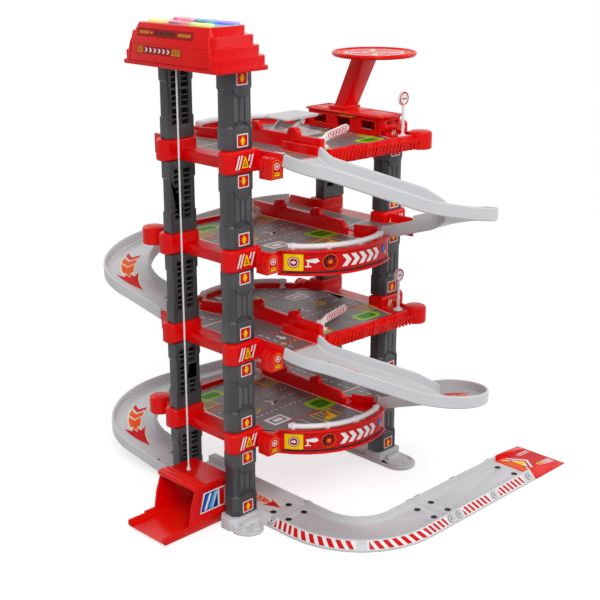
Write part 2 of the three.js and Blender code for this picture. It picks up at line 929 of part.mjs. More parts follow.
// The long foot under the two right-hand columns, with a rounded toe at each end.
function baseBar() {
  const x = halfX;
  const r = baseWidth / 2;
  const straight = baseLength / 2 - r;
  const outline = [
    ...arcPoints(x, straight, r, 0, halfTurn, baseArcSteps),
    ...arcPoints(x, -straight, r, halfTurn, fullTurn, baseArcSteps),
  ];
  const plate = prism(outline, 0, basePlate, baseBevel);
  const middle = block(
    x - r + deckWall, x + r - deckWall, -halfY + postDepth, halfY - postDepth, 0, basePlate + deckWall,
  );
  const seats = [-1, 1].flatMap((side) => {
    const y = side * halfY;
    const reach = postDepth / 2 + collarSide;
    const seatX = postWidth / 2 + postFootGrowth;
    return [
      block(x - seatX, x + seatX, y - reach, y + reach, 0, footHeight),
      block(
        x - spigotWidth / 2, x + spigotWidth / 2, y - spigotDepth / 2, y + spigotDepth / 2,
        0, footHeight + spigotHeight,
      ),
      rodX(y + side * (reach + basePadHeight / 2), basePlate, x - r / 2, x + r / 2, basePadHeight / 2),
    ];
  });
  return join(plate, middle, ...seats);
}

function rodX(y, z, x0, x1, radius, sides = 12) {
  const geometry = new THREE.CylinderGeometry(radius, radius, x1 - x0, sides);
  geometry.rotateZ(Math.PI / 2);
  geometry.translate((x0 + x1) / 2, y, z);
  return solid(geometry);
}

// The white rail over the half-round front, on four short posts.
function guardRail() {
  const radius = bannerRadius - railInset;
  const from = bannerStartDegrees + railStartDegrees;
  const to = bannerEndDegrees - railEndDegrees;
  const tube = sweep(
    arcPoints(bannerX, -bannerY, radius, from, to, railSteps).map(([x, y], i) => ({
      x, y, z: railHeight, heading: (from + quarterTurn + ((to - from) * i) / railSteps) * degree,
    })),
    arcPoints(0, 0, railTube, 0, fullTurn, tubeSides).slice(1),
  );
  const inset = radius - railPost / 2;
  const feet = railFootShares.map((share) => {
    const [x, y] = arcPoints(bannerX, -bannerY, inset, from + (to - from) * share, to, 1)[0];
    return rod(x, y, fit, railHeight, railPost, tubeSides);
  });
  return join(tube, ...feet);
}

// A barrier's foot with two ears and its hinge pin, and the arm that swings on the pin.
function barrierPost() {
  const w = barrierBaseWidth / 2;
  const d = barrierBaseDepth / 2;
  const pivot = barrierPivotHeight;
  const gap = barrierArmDepth / 2 + fit;
  const base = block(-w, w, -d, d, fit, barrierBaseHeight);
  const ear = (side) =>
    profileXZ(
      [
        [-w / 2, barrierBaseHeight - fit],
        [w / 2, barrierBaseHeight - fit],
        ...arcPoints(0, pivot, w / 2, 0, halfTurn, earArcSteps),
      ],
      Math.min(side * gap, side * (gap + barrierEar)), Math.max(side * gap, side * (gap + barrierEar)),
    );
  const pin = rodY(0, pivot, -gap - barrierEar / 2, gap + barrierEar / 2, barrierPinRadius, pinSides);
  return join(base, ear(-1), ear(1), pin);
}

function barrierArm() {
  const h = barrierArmHeight / 2;
  const d = barrierArmDepth / 2;
  const heel = barrierBaseWidth * barrierHeelShare;
  const body = profileXZ(
    [
      ...arcPoints(0, 0, heel, -quarterTurn - halfTurn, -quarterTurn, tubeArcSteps),
      [heel + h / 2, -heel],
      [barrierBaseWidth / 2 + h, -h + heel / 2],
      ...arcPoints(barrierArmLength - h, heel / 2, h, -quarterTurn, quarterTurn, tubeArcSteps),
      [barrierBaseWidth / 2 + h, h + heel / 2],
      [heel, heel],
    ],
    -d, d,
  );
  return cut(body, rodY(0, 0, -d - cutOverrun, d + cutOverrun, barrierPinRadius + fit, pinSides));
}

function sign() {
  const discZ = signHeight - signDiscRadius;
  return join(
    turned(0, 0, [
      [0, fit],
      [signBaseRadius, fit],
      [signBaseRadius * signBaseShare, signBaseHeight],
      [0, signBaseHeight],
    ], pinSides),
    rod(0, 0, signBaseHeight / 2, discZ, signPostRadius, tubeSides),
    rodY(0, discZ, -signDiscThickness / 2, signDiscThickness / 2, signDiscRadius, drumSides),
  );
}

// The lift cab: a floor, two side walls cut low at the open front, a roof with a cross bar,
// an eye for the cord and two shoes that run between the columns.
function liftCab() {
  const back = -cabEndX;
  const front = back - cabLength;
  const roofFront = back - cabRoofLength;
  const w = cabWidth / 2;
  const low = cabClearance;
  const top = cabHeight;
  const outline = [
    [front + cabWall, low],
    [back, low],
    [back, top],
    [roofFront + cabBar, top],
    [roofFront - cabBar, (top + cabSill) / 2],
    [roofFront - 2 * cabBar, cabSill],
    [front, cabSill],
    [front, low + cabFloor],
  ];
  const shell = profileXZ(outline, -w, w);
  const room = block(
    front - cutOverrun, back + cutOverrun, -w + cabWall, w - cabWall, low + cabFloor, top - cabRoof,
  );
  const windowRecess = (side) => {
    const outer = side * (w + cutOverrun);
    const inner = side * (w - cabWall * windowRecessShare);
    return block(
      roofFront + 2 * cabBar, back - 2 * cabBar, Math.min(outer, inner), Math.max(outer, inner),
      cabWindowLow, cabWindowHigh,
    );
  };
  const bars = Array.from({ length: cabBarCount }, (_, i) => {
    const start = roofFront + cabBar + i * 2 * cabBar;
    return block(start, start + cabBar, -w, w, top - cabRoof, top + cabBar * cabBarShare);
  });
  const eye = cut(
    join(
      rodY(-cordX, top + eyeRadius, -eyeThickness / 2, eyeThickness / 2, eyeRadius, shaftSides),
      block(
        -cordX - eyeRadius, -cordX + eyeRadius, -eyeThickness / 2, eyeThickness / 2,
        top - cabRoof, top + eyeRadius / 2,
      ),
    ),
    rodY(-cordX, top + eyeRadius, -eyeThickness, eyeThickness, eyeRadius / 2, pinSides),
  );
  const shoeReach = halfY - postDepth / 2 - shoeGap;
  const shoe = block(
    back - cabShoe - cabShoeWidth, back - cabShoe, -shoeReach, shoeReach,
    cabWindowLow, cabWindowLow + cabShoeHeight,
  );
  return cut(join(cut(shell, room), ...bars, eye, cut(shoe, room)), windowRecess(-1), windowRecess(1));
}

const drumX = -cordX + drumRadius + cordRadius + fit;
const drumZ = towerZ + drumRadius + drumFlange + cabClearance;
const towerTop = towerZ + towerFlange + towerTier * towerTierCount + towerCap;

function liftCord() {
  return rod(-cordX, 0, cabHeight + 2 * eyeRadius + fit, drumZ, cordRadius, pinSides);
}

// The winch drum turns on a stub that runs in the housing and on the motor's shaft.
function winchDrum() {
  const w = drumLength / 2;
  const rim = drumRadius + drumFlange;
  const body = join(
    rodY(drumX, drumZ, -w, w, drumRadius, drumSides),
    rodY(drumX, drumZ, -w - drumFlangeThickness, -w, rim, flangeSides),
    rodY(drumX, drumZ, w, w + drumFlangeThickness, rim, flangeSides),
    rodY(drumX, drumZ, -drumShaftLength / 2 - drumFlangeThickness, -w, drumShaftRadius, shaftSides),
  );
  const bore = rodY(drumX, drumZ, 0, w + drumFlangeThickness + cutOverrun, motorShaft + fit, shaftSides);
  return cut(body, bore);
}

function winchMotor() {
  const start = drumLength / 2 + drumFlangeThickness + cabClearance;
  const end = start + motorLength;
  return join(
    rodY(drumX, drumZ, start, end, motorRadius, flangeSides),
    rodY(drumX, drumZ, fit, start + fit, motorShaft, shaftSides),
    rodY(drumX, drumZ, end - fit, end + motorShaft, motorRadius / 2, shaftSides),
  );
}

// The winch tower: a stepped housing over both lift columns, hollow between them, with a
// leaning fascia over the lift.
function towerHousing() {
  const x = -towerMiddleX;
  const z0 = towerZ;
  const z1 = z0 + towerFlange;
  const ceiling = z1 + towerTier * (towerTierCount - 1) + towerShell;
  const tier = (sizeX, sizeY, from, to) =>
    prism(
      [
        [x - sizeX / 2, -sizeY / 2 + towerSeat],
        [x - sizeX / 2 + towerSeat, -sizeY / 2],
        [x + sizeX / 2 - towerSeat, -sizeY / 2],
        [x + sizeX / 2, -sizeY / 2 + towerSeat],
        [x + sizeX / 2, sizeY / 2 - towerSeat],
        [x + sizeX / 2 - towerSeat, sizeY / 2],
        [x - sizeX / 2 + towerSeat, sizeY / 2],
        [x - sizeX / 2, sizeY / 2 - towerSeat],
      ],
      from, to,
    );
  const tiers = Array.from({ length: towerTierCount }, (_, i) =>
    tier(
      towerTierX - i * towerStepX, towerTierY - i * towerStepY,
      z1 + i * towerTier - fit, z1 + (i + 1) * towerTier,
    ));
  const front = x - towerFlangeX / 2;
  const fascia = profileXZ(
    [
      [front + towerShell, z1 - fit],
      [front + fasciaDepth, z1 - fit],
      [front + fasciaDepth, towerTop - towerCap],
      [front + fasciaLean, towerTop - towerCap],
      [front + towerShell, z1 + towerTier],
    ],
    -fasciaLength / 2, fasciaLength / 2,
  );
  const body = join(
    tier(towerFlangeX, towerFlangeY, z0, z1),
    ...tiers,
    tier(towerCapX, towerCapY, towerTop - towerCap - fit, towerTop),
    fascia,
  );
  const roomX = towerTierX / 2 - towerShell - fit;
  const roomY = halfY - postDepth / 2 - towerShell;
  const room = block(x - roomX, x + roomX, -roomY, roomY, z0 - cutOverrun, ceiling);
  const w = drumLength / 2 + drumFlangeThickness;
  const bearing = cut(
    block(
      drumX - drumRadius, drumX + drumRadius, -drumShaftLength / 2 - cutOverrun, -w - cabClearance,
      drumZ - drumRadius, ceiling + fit,
    ),
    rodY(drumX, drumZ, -drumShaftLength, 0, drumShaftRadius + fit, shaftSides),
  );
  const saddleStart = w + cabClearance + motorRadius / 2;
  const saddle = cut(
    block(
      drumX - motorRadius, drumX + motorRadius, saddleStart, saddleStart + motorRadius,
      drumZ, ceiling + fit,
    ),
    rodY(drumX, drumZ, 0, roomY, motorRadius + fit, flangeSides),
  );
  const sockets = [-1, 1].map((side) => {
    const y = side * halfY;
    return block(
      -halfX - spigotWidth / 2 - fit, -halfX + spigotWidth / 2 + fit,
      y - spigotDepth / 2 - fit, y + spigotDepth / 2 + fit, z0 - cutOverrun, z0 + spigotHeight + fit,
    );
  });
  const seat = block(
    x - towerCapX / 2 + lensInset - fit, x + towerCapX / 2 - lensInset + fit,
    -towerCapY / 2 + lensInset - fit, towerCapY / 2 - lensInset + fit,
    towerTop - lensRise / 2, towerTop + cutOverrun,
  );
  return cut(join(cut(body, room), bearing, saddle), ...sockets, seat);
}

// The light cover on the tower: six raised windows round a sunk middle.
function towerLens() {
  const x = -towerMiddleX;
  const z = towerTop - lensRise / 2 + fit;
  const halfLensX = towerCapX / 2 - lensInset;
  const halfLensY = towerCapY / 2 - lensInset;
  const lensBevel = lensRise * lensBevelShare;
  const plate = block(x - halfLensX, x + halfLensX, -halfLensY, halfLensY, z, z + lensRise / 2);
  const windows = [-1, 0, 1].flatMap((row) =>
    [-1, 1].map((side) => {
      const pitchY = (2 * halfLensY) / 3;
      const innerX = lensWell / 2;
      const x0 = x + (side < 0 ? -halfLensX : innerX) + lensGap;
      const x1 = x + (side < 0 ? -innerX : halfLensX) - lensGap;
      const y0 = row * pitchY - pitchY / 2 + lensGap;
      const y1 = row * pitchY + pitchY / 2 - lensGap;
      return prism([[x0, y0], [x1, y0], [x1, y1], [x0, y1]], z + lensBevel, z + lensRise, lensBevel);
    }),
  );
  return join(plate, ...windows);
}

const roofTop = levelZ(levelCount);

// The station house on the top deck: a roof over three walls, open where it meets the columns.
function stationHouse() {
  const z0 = roofTop + fit;
  const wall = houseWall;
  const collarOuterY = halfY + postDepth / 2 + collarSide;
  const x0 = houseX;
  const x1 = houseX + houseWidth;
  const y0 = -collarOuterY - fit - wall;
  const y1 = y0 + houseLength;
  const clearX = halfX - postWidth / 2 - collarInner - fit;
  const top = roofTop + collarRise + spigotHeight + fit;
  const between = halfY - postDepth / 2 - fit;
  const westWall = block(x0, x0 + wall, y0, y1, z0, top + fit);
  const southWall = block(x0, x1, y0, y0 + wall, roofTop + collarRise / 2, top + fit);
  const northWall = block(x0, clearX, y1 - wall, y1, z0, top + fit);
  const eastWall = block(x1 - wall, x1, -between, between, z0, top + fit);
  const roof = prism(
    [
      [x0 - houseEave, y0 - houseEave],
      [x1 + houseEave, y0 - houseEave],
      [x1 + houseEave, y1 + houseEave],
      [x0 - houseEave, y1 + houseEave],
    ],
    top, top + houseRoof, houseRoof * houseBevelShare,
  );
  const step = block(
    x0 + houseEave, x1 - houseEave, -padRadius / 2, padRadius / 2 - houseEave,
    top + houseRoof - fit, top + houseRoof + houseStep,
  );
  const windows = Array.from({ length: houseWindowCount }, (_, i) => {
    const y = y0 + (houseLength * (i + 1 / 2)) / houseWindowCount;
    return block(
      x0 - cutOverrun, x0 + wall + cutOverrun, y - houseWindow / 2, y + houseWindow / 2,
      roofTop + houseSill, roofTop + houseSill + houseWindowHeight,
    );
  });
  const frontWindow = block(
    x0 + houseWidth * frontWindowShares[0], x0 + houseWidth * frontWindowShares[1],
    y0 - cutOverrun, y0 + wall + cutOverrun,
    roofTop + collarRise, top - wall,
  );
  return cut(join(westWall, southWall, northWall, eastWall, roof, step), ...windows, frontWindow);
}

// The helicopter pad: a dished disc on a leaning arm that stands on the station roof.
function helipad() {
  const foot = roofTop + collarRise + spigotHeight + fit + houseRoof + houseStep + fit;
  const z1 = roofTop + padHeight;
  const z0 = z1 - padThickness;
  const disc = turned(padX, -padY, [
    [0, z0],
    [padRadius - padRim, z0],
    [padRadius, z0 + padRim / 2],
    [padRadius, z1],
    [padRadius - padRim, z1],
    [padRadius - padRim, z1 - padRim / 2],
    [0, z1 - padRim / 2],
  ], padSides);
  const armHeel = armFootY * armHeelShare;
  const arm = profileYZ(
    [
      [armFootY, foot],
      [-armHeel, foot],
      [-padY + armThickness * armHeelShare, z0 + padRim / 2],
      [-padY + 2 * armThickness, z0 + padRim / 2],
      [armFootY - armThickness / 2, foot + armThickness / 2],
    ],
    padX - armWidth / 2, padX + armWidth / 2,
  );
  const collar = block(
    padX - armWidth / 2 - padRim, padX + armWidth / 2 + padRim, -armHeel - padRim, armFootY + padRim,
    foot, foot + padRim,
  );
  return join(disc, arm, collar);
}

const hoistPivotX = hoistX - hoistLength * hoistPivotShare;
const hoistPivotZ = roofTop + fit + hoistPlate + hoistLinkWidth / 2 + fit;

// The car hoist: a floor plate with a drive-on wedge and two hinge ears.
function hoistBase() {
  const x0 = hoistX - hoistLength / 2;
  const x1 = hoistX + hoistLength / 2;
  const z0 = roofTop + fit;
  const z1 = z0 + hoistPlate;
  const plate = profileXZ(
    [[x0 - hoistRampLength, z0], [x1, z0], [x1, z1], [x0, z1]],
    hoistY - hoistWidth / 2, hoistY + hoistWidth / 2,
  );
  const outer = hoistWidth / 2;
  const ear = (side) =>
    profileXZ(
      [
        [hoistPivotX - hoistLinkWidth / 2, z1 - fit],
        [hoistPivotX + hoistLinkWidth / 2, z1 - fit],
        ...arcPoints(hoistPivotX, hoistPivotZ, hoistLinkWidth / 2, 0, halfTurn, tubeArcSteps),
      ],
      hoistY + (side < 0 ? -outer : outer - hoistEar), hoistY + (side < 0 ? -outer + hoistEar : outer),
    );
  const hole = rodY(
    hoistPivotX, hoistPivotZ, hoistY - hoistWidth, hoistY + hoistWidth, hoistPinRadius + fit, pinSides,
  );
  return cut(join(plate, ear(-1), ear(1)), hole);
}

// The lifting link, drawn flat from its lower pin at zero to its upper pin.
function hoistLinkShape() {
  const outer = hoistWidth / 2 - hoistEar - fit;
  const w = hoistLinkWidth / 2;
  const arm = (side) =>
    profileXZ(
      [
        ...arcPoints(0, 0, w, quarterTurn, quarterTurn + halfTurn, earArcSteps),
        ...arcPoints(hoistLink, 0, w, -quarterTurn, quarterTurn, earArcSteps),
      ],
      side < 0 ? -outer : outer - hoistLinkThickness, side < 0 ? -outer + hoistLinkThickness : outer,
    );
  const [webFrom, webTo] = hoistWebShares.map((share) => hoistLink * share);
  const web = block(webFrom, webTo, -outer, outer, -w / 2, w / 2);
  const reach = hoistWidth / 2 - fit;
  const lowerPin = rodY(0, 0, -reach, reach, hoistPinRadius, pinSides);
  const upperPin = rodY(hoistLink, 0, -reach, reach, hoistPinRadius, pinSides);
  return join(arm(-1), arm(1), web, lowerPin, upperPin);
}

// The hoist platform, drawn with its pivot at zero.
function hoistPlatform() {
  const half = hoistLength / 2 - hoistLinkWidth;
  const z0 = hoistLinkWidth / 2 + fit;
  const plate = profileXZ(
    [
      [-half, z0],
      [half - hoistPlate, z0],
      [half, z0 + hoistDeck / 2],
      [half, z0 + hoistDeck],
      [-half + hoistPlate, z0 + hoistDeck],
      [-half, z0 + hoistDeck / 2],
    ],
    -hoistWidth / 2, hoistWidth / 2,
  );
  const outer = hoistWidth / 2;
  const ear = (side) =>
    profileXZ(
      [
        ...arcPoints(0, 0, hoistLinkWidth / 2, halfTurn, fullTurn, tubeArcSteps),
        [hoistLinkWidth / 2, z0 + fit],
        [-hoistLinkWidth / 2, z0 + fit],
      ],
      side < 0 ? -outer : outer - hoistEar, side < 0 ? -outer + hoistEar : outer,
    );
  const hole = rodY(0, 0, -hoistWidth, hoistWidth, hoistPinRadius + fit, pinSides);
  return cut(join(plate, ear(-1), ear(1)), hole);
}

// Assembly
const garage = new THREE.Group();
garage.name = "parking_garage";

function addPosts() {
  const columns = [
    ["left_front_post", -1, -1],
    ["left_rear_post", -1, 1],
    ["right_front_post", 1, -1],
    ["right_rear_post", 1, 1],
  ];
  for (const [name, sideX, sideY] of columns) {
    const storeys = sideX < 0 ? levelCount + 1 : levelCount;
    for (let storey = 1; storey <= storeys; storey++) {
      const from = storey === 1 ? footHeight + fit : levelZ(storey - 1) + collarRise + fit;
      const to = storey > levelCount ? towerZ - fit : levelZ(storey) - collarRise - fit;
      const mesh = piece(name + "_" + storey, post(to - from), darkGrey);
      mesh.position.set(sideX * halfX, sideY * halfY, from);
      mesh.rotation.z = sideY > 0 ? Math.PI : 0;
      garage.add(mesh);
    }
  }
}

function addDecks() {
  for (let level = 1; level <= levelCount; level++) {
    const storey = new THREE.Group();
    storey.position.z = levelZ(level);
    storey.rotation.z = level % 2 === 0 ? Math.PI : 0;
    storey.add(piece("deck_" + level, deck(), red));
    storey.add(piece("guard_rail_" + level, guardRail(), white));
    const stand = piece("barrier_post_" + level, barrierPost(), white);
    stand.position.set(barrierX, barrierY, 0);
    const arm = piece("barrier_arm_" + level, barrierArm(), white);
    arm.position.set(barrierX, barrierY, barrierPivotHeight);
    arm.rotation.set(0, -barrierRest * degree, Math.PI, "ZYX");
    const disc = piece("sign_" + level, sign(), white);
    disc.position.set(-signX, signY, 0);
    storey.add(stand, arm, disc);
    garage.add(storey);
  }
}

function addRamps() {
  for (let level = levelCount; level >= 1; level--) {
    const low = level > 1 ? levelZ(level - 1) : trackFloor;
    const mesh = piece("ramp_" + level, ramp(levelZ(level), low), lightGrey);
    mesh.rotation.z = level % 2 === 0 ? 0 : Math.PI;
    garage.add(mesh);
  }
}

function addHoist() {
  const angle = hoistRestDegrees * degree;
  const link = piece("hoist_link", hoistLinkShape(), lightGrey);
  link.position.set(hoistPivotX, hoistY, hoistPivotZ);
  link.rotation.y = -angle;
  const platform = piece("hoist_platform", hoistPlatform(), lightGrey);
  platform.position.set(
    hoistPivotX + hoistLink * Math.cos(angle), hoistY, hoistPivotZ + hoistLink * Math.sin(angle),
  );
  garage.add(piece("hoist_base", hoistBase(), lightGrey), link, platform);
}

addPosts();
addDecks();
addRamps();
garage.add(
  piece("front_foot", foot(-1), lightGrey),
  piece("rear_foot", foot(1), lightGrey),
  piece("base_bar", baseBar(), lightGrey),
  piece("ground_lane", groundLane(), lightGrey),
  piece("track_curve", trackCurve(), lightGrey),
  piece("track_straight", trackStraightPiece(), lightGrey),
  piece("track_end", trackEnd(), red),
  piece("lift_cab", liftCab(), red),
  piece("lift_cord", liftCord(), thread),
  piece("winch_drum", winchDrum(), white),
  piece("winch_motor", winchMotor(), metal),
  piece("tower_housing", towerHousing(), red),
  piece("tower_light_cover", towerLens(), clear),
  piece("station_house", stationHouse(), red),
  piece("helipad", helipad(), red),
);
addHoist();

// The origin moves to the middle of the footprint.
garage.updateMatrixWorld(true);
const box = new THREE.Box3().setFromObject(garage, true);
const model = new THREE.Group();
garage.position.set(-(box.min.x + box.max.x) / 2, -(box.min.y + box.max.y) / 2, -box.min.z);
model.add(garage);

export default model;
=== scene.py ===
import itertools
import math

import bmesh
import bpy
from mathutils import Matrix, Vector


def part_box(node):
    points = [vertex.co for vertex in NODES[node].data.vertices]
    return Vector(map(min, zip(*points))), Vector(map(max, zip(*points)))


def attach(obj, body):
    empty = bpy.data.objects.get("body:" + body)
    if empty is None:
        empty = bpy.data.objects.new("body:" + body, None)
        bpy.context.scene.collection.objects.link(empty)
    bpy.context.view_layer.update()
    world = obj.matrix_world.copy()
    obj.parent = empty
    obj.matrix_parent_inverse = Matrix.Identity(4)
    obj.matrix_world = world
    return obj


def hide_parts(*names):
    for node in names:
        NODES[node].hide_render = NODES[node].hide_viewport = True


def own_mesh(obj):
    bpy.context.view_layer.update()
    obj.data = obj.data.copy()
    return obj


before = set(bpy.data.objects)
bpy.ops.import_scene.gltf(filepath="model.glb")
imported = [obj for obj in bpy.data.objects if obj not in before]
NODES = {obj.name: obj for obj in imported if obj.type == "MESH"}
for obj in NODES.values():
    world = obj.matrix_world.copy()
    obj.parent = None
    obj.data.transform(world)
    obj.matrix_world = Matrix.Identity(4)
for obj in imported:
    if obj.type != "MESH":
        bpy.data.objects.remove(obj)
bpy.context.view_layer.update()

bl_info = {
    "name": "Toy parking garage with lift",
    "version": (1, 0, 0),
    "blender": (4, 5, 0),
    "location": "View3D > Sidebar > Garage",
    "description": "Dresses the packed parking garage and sets up its studio",
    "category": "Object",
}

# Places in this file are in millimetres in the tower frame, whose middle lies between the
# four columns. The model's own origin is the middle of its footprint.
MM = 0.001
# Points of a new mesh that are nearer than this, in millimetres, are merged.
WELD = 0.001
# Points of a CAD node's mesh are merged at this distance, in metres, and its triangles are
# joined where they meet flatter than this angle.
CAD_WELD = 0.00001
FLAT_DEGREES = 0.6
# How far a label or a print floats over the face that it lies on, in millimetres.
FLOAT = 0.03
LEVELS = (1, 2, 3, 4)
COLUMN_X = 109.5
COLUMN_Y = 44.0
LEVEL_HEIGHT = 95.0
POST_WIDTH = 31.0
POST_DEPTH = 15.0
POST_FOOT_HEIGHT = 22.0
POST_HEAD_HEIGHT = 18.0
SPIGOT_HEIGHT = 7.0
LADDER_MARGIN = 6.0
LADDER_PITCH = 17.5
LADDER_RUNG = 2.6
POCKET_DEPTH = 4.9
POST_GROWTH = 1.4
COLLAR_PROUD_Y = 4.5
FIT = 0.3

LANE_WIDTH = 46.0
LANE_EXIT_X = 66.0
LANE_ENTRY_X = 78.0
LANE_END = 86.0
CENTRE_WALL_X = 28.5
BANNER_RADIUS = 88.0
BANNER_X = 2.5
BANNER_Y = -23.0
BANNER_LOW = -20.0
BANNER_HIGH = 5.0
BANNER_WALL = 3.5
BANNER_START = 208.0
BANNER_END = 297.0
FRONT_HUB = (-92.2, -67.3)
BACK_HUB = (97.5, 78.5)
HUB_DEPTH = 15.0
HUB_WIDTH = 17.0
HUB_RISE = 6.0
DECK_SKIRT = 11.0
KNOB_RADIUS = 12.0
RIBBED_WALL_THICKNESS = 5.0
DECK_WALL = 3.0
CENTRE_WALL_THICKNESS = 6.0
CENTRE_WALL_HEIGHT = 14.0
CENTRE_WALL_BUMP = 7.0

RAMP_FLOOR = 3.0
RAMP_WALL = 3.5
RAMP_WALL_HEIGHT = 10.0
RAMP_LEAD_RADIUS = 40.0
RAMP_LEAD_TURN = 41.0
RAMP_LOOP_RADIUS = 49.0
RAMP_EXIT_HEADING = 100.0

TRACK_LANE = 45.0
TRACK_SHOULDER = 10.0
TRACK_FLOOR = 4.0
TRACK_EDGE = 10.0
TRACK_TOE = 2.0
TRACK_CURVE_RADIUS = 67.5
TRACK_SEAM_Y = -68.0
TRACK_CURVE_Y = -104.0
TRACK_SEAM_X = 44.5
TRACK_STRAIGHT = 142.0
TRACK_RAMP = 58.0
BASE_LENGTH = 178.0
BASE_WIDTH = 37.0
BASE_PLATE = 5.0

RAIL_RADIUS = 84.0
RAIL_TUBE = 2.8
RAIL_HEIGHT = 8.2
RAIL_SHARES = (0.04, 0.35, 0.65, 0.96)
CORD_X = -143.0
CORD_RADIUS = 0.9
BARRIER_X = 13.5
BARRIER_Y = 62.0
BARRIER_PIVOT = 9.0
BARRIER_REST = 10.0
BARRIER_ARM_DEPTH = 2.4
BARRIER_EAR = 2.0
SIGN_X = -97.0
SIGN_Y = 73.0
SIGN_HEIGHT = 47.0
SIGN_RADIUS = 7.5
SIGN_THICKNESS = 2.0
CAB_BACK = -111.5
CAB_ROOF_FRONT = -160.5
CAB_HALF_WIDTH = 29.0
FASCIA_ROWS = ((-153.6, 469.0, 61.0), (-151.8, 487.0, 57.0), (-145.6, 504.3, 49.6))
FASCIA_BACK = -142.0
CORD_LOW = 56.3
DRUM_X = -134.8
DRUM_Z = 476.0
DRUM_RADIUS = 7.0
DRUM_LENGTH = 18.0
HOUSE_X = 77.0
HOUSE_START = -59.3
HOUSE_LENGTH = 104.0
PAD_X = 92.0
PAD_Y = -36.0
PAD_TOP = 465.0
PAD_RADIUS = 44.0
PAD_RECESS = 1.25
# How far below the lamp cover's top its lamp faces may lie, in metres.
LAMP_DEPTH = 0.0027


def shift_x():
    """The tower frame's middle, along X, in the model's own frame."""
    low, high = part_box("left_front_post_2")
    far_low, far_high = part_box("right_front_post_2")
    return (low.x + high.x + far_low.x + far_high.x) / 4


SHIFT_X = shift_x()
TOWER_FRAME = Matrix.Translation((SHIFT_X, 0, 0)) @ Matrix.Diagonal((MM, MM, MM, 1))


def level_frame(level):
    """The frame of one deck, in millimetres. Every other deck is turned half round."""
    turn = math.pi if level % 2 == 0 else 0
    rise = Matrix.Translation((0, 0, LEVEL_HEIGHT * level))
    return TOWER_FRAME @ rise @ Matrix.Rotation(turn, 4, "Z")


def ramp_frame(level):
    """The frame of the ramp that leaves one deck."""
    turn = 0 if level % 2 == 0 else math.pi
    return TOWER_FRAME @ Matrix.Rotation(turn, 4, "Z")


def upright(x, y, z, heading):
    """A frame on an upright face at a place, whose normal points along a heading."""
    turn = math.radians(heading + 90)
    stand = Matrix.Translation((x, y, z)) @ Matrix.Rotation(turn, 4, "Z")
    return stand @ Matrix.Rotation(math.pi / 2, 4, "X")


# Settings


def shade(label, words, value):
    return bpy.props.FloatVectorProperty(
        name=label, description=words, subtype="COLOR_GAMMA", size=3, min=0, max=1, default=value
    )


def amount(label, words, value, low, high, **kind):
    return bpy.props.FloatProperty(
        name=label, description=words, default=value, min=low, max=high, **kind
    )


def length(label, words, value, low, high):
    return amount(label, words, value, low, high, subtype="DISTANCE", unit="LENGTH")


def power(label, words, value):
    return amount(label, words, value, 0, 1000, subtype="POWER", unit="POWER")


class GarageColours(bpy.types.PropertyGroup):
    """Colours of the garage's plastics and inks, as shown on a screen."""

    red: shade("Red plastic", "Decks, tower and cab", (0.90, 0.01, 0.03))
    grey: shade("Grey plastic", "Ramps, tracks and feet", (0.82, 0.825, 0.83))
    dark: shade("Dark plastic", "Column posts", (0.24, 0.24, 0.25))
    white: shade("White plastic", "Rails, barriers and signs", (0.93, 0.93, 0.93))
    asphalt: shade("Asphalt print", "Printed road on the decks", (0.42, 0.415, 0.42))
    yellow: shade("Yellow ink", "Arrows and boxes on labels", (0.99, 0.83, 0.03))
    green: shade("Green ink", "Printed bushes", (0.24, 0.62, 0.10))
    backdrop: shade("Backdrop", "Floor under the garage", (0.74, 0.74, 0.74))


class GarageSizes(bpy.types.PropertyGroup):
    """Small sizes that are finished in this file."""

    edge_round: length("Edge rounding", "Radius on moulded edges", 0.0004, 0.0001, 0.001)
    path_step: length("Path step", "Distance between sections along a ramp", 0.004, 0.001, 0.02)


class StudioSettings(bpy.types.PropertyGroup):
    """The studio's light and camera."""

    key_power: power("Key light", "Power of the large lamp at the front", 50.0)
    fill_power: power("Fill light", "Power of the lamp at the other side", 14.0)
    world_strength: amount("Sky strength", "Even light from all round", 0.46, 0, 2)
    floor_lift: amount("Floor lift", "Even brightness that the camera sees on the floor", 0.66, 0, 1)
    lens: amount("Lens", "Focal length of the camera", 71.6, 20, 300, subtype="DISTANCE_CAMERA")


def colours():
    return bpy.context.scene.garage_colours


def sizes():
    return bpy.context.scene.garage_sizes


# Selection and modelling helpers


def deselect():
    """Goes back to object mode and selects nothing."""
    if bpy.context.object is not None and bpy.context.object.mode != "OBJECT":
        bpy.ops.object.mode_set(mode="OBJECT")
    bpy.ops.object.select_all(action="DESELECT")


def pick(*pieces):
    """Selects some pieces and makes the first one active."""
    deselect()
    for piece in pieces:
        piece.select_set(True)
    bpy.context.view_layer.objects.active = pieces[0]


def edit(piece):
    """Opens a piece in edit mode with all of it selected."""
    pick(piece)
    bpy.ops.object.mode_set(mode="EDIT")
    bpy.ops.mesh.select_all(action="SELECT")


def leave():
    bpy.ops.object.mode_set(mode="OBJECT")


def settle(piece, place):
    """Puts a place into the mesh and leaves the object at the origin."""
    matrix = place @ piece.matrix_basis
    piece.data.transform(matrix)
    piece.matrix_basis = Matrix.Identity(4)
    if matrix.determinant() < 0:
        piece.data.flip_normals()


def tidy_mesh(piece, apart=WELD):
    """Merges the doubles of a mesh and turns its faces outwards."""
    edit(piece)
    bpy.ops.mesh.remove_doubles(threshold=apart)
    bpy.ops.mesh.normals_make_consistent(inside=False)
    leave()


def apply_modifier(piece, kind, **values):
    modifier = piece.modifiers.new(kind.lower(), kind)
    for key, value in values.items():
        setattr(modifier, key, value)
    pick(piece)
    bpy.ops.object.modifier_apply(modifier=modifier.name)


def smooth(piece, degrees=35):
    pick(piece)
    bpy.ops.object.shade_smooth_by_angle(angle=math.radians(degrees))


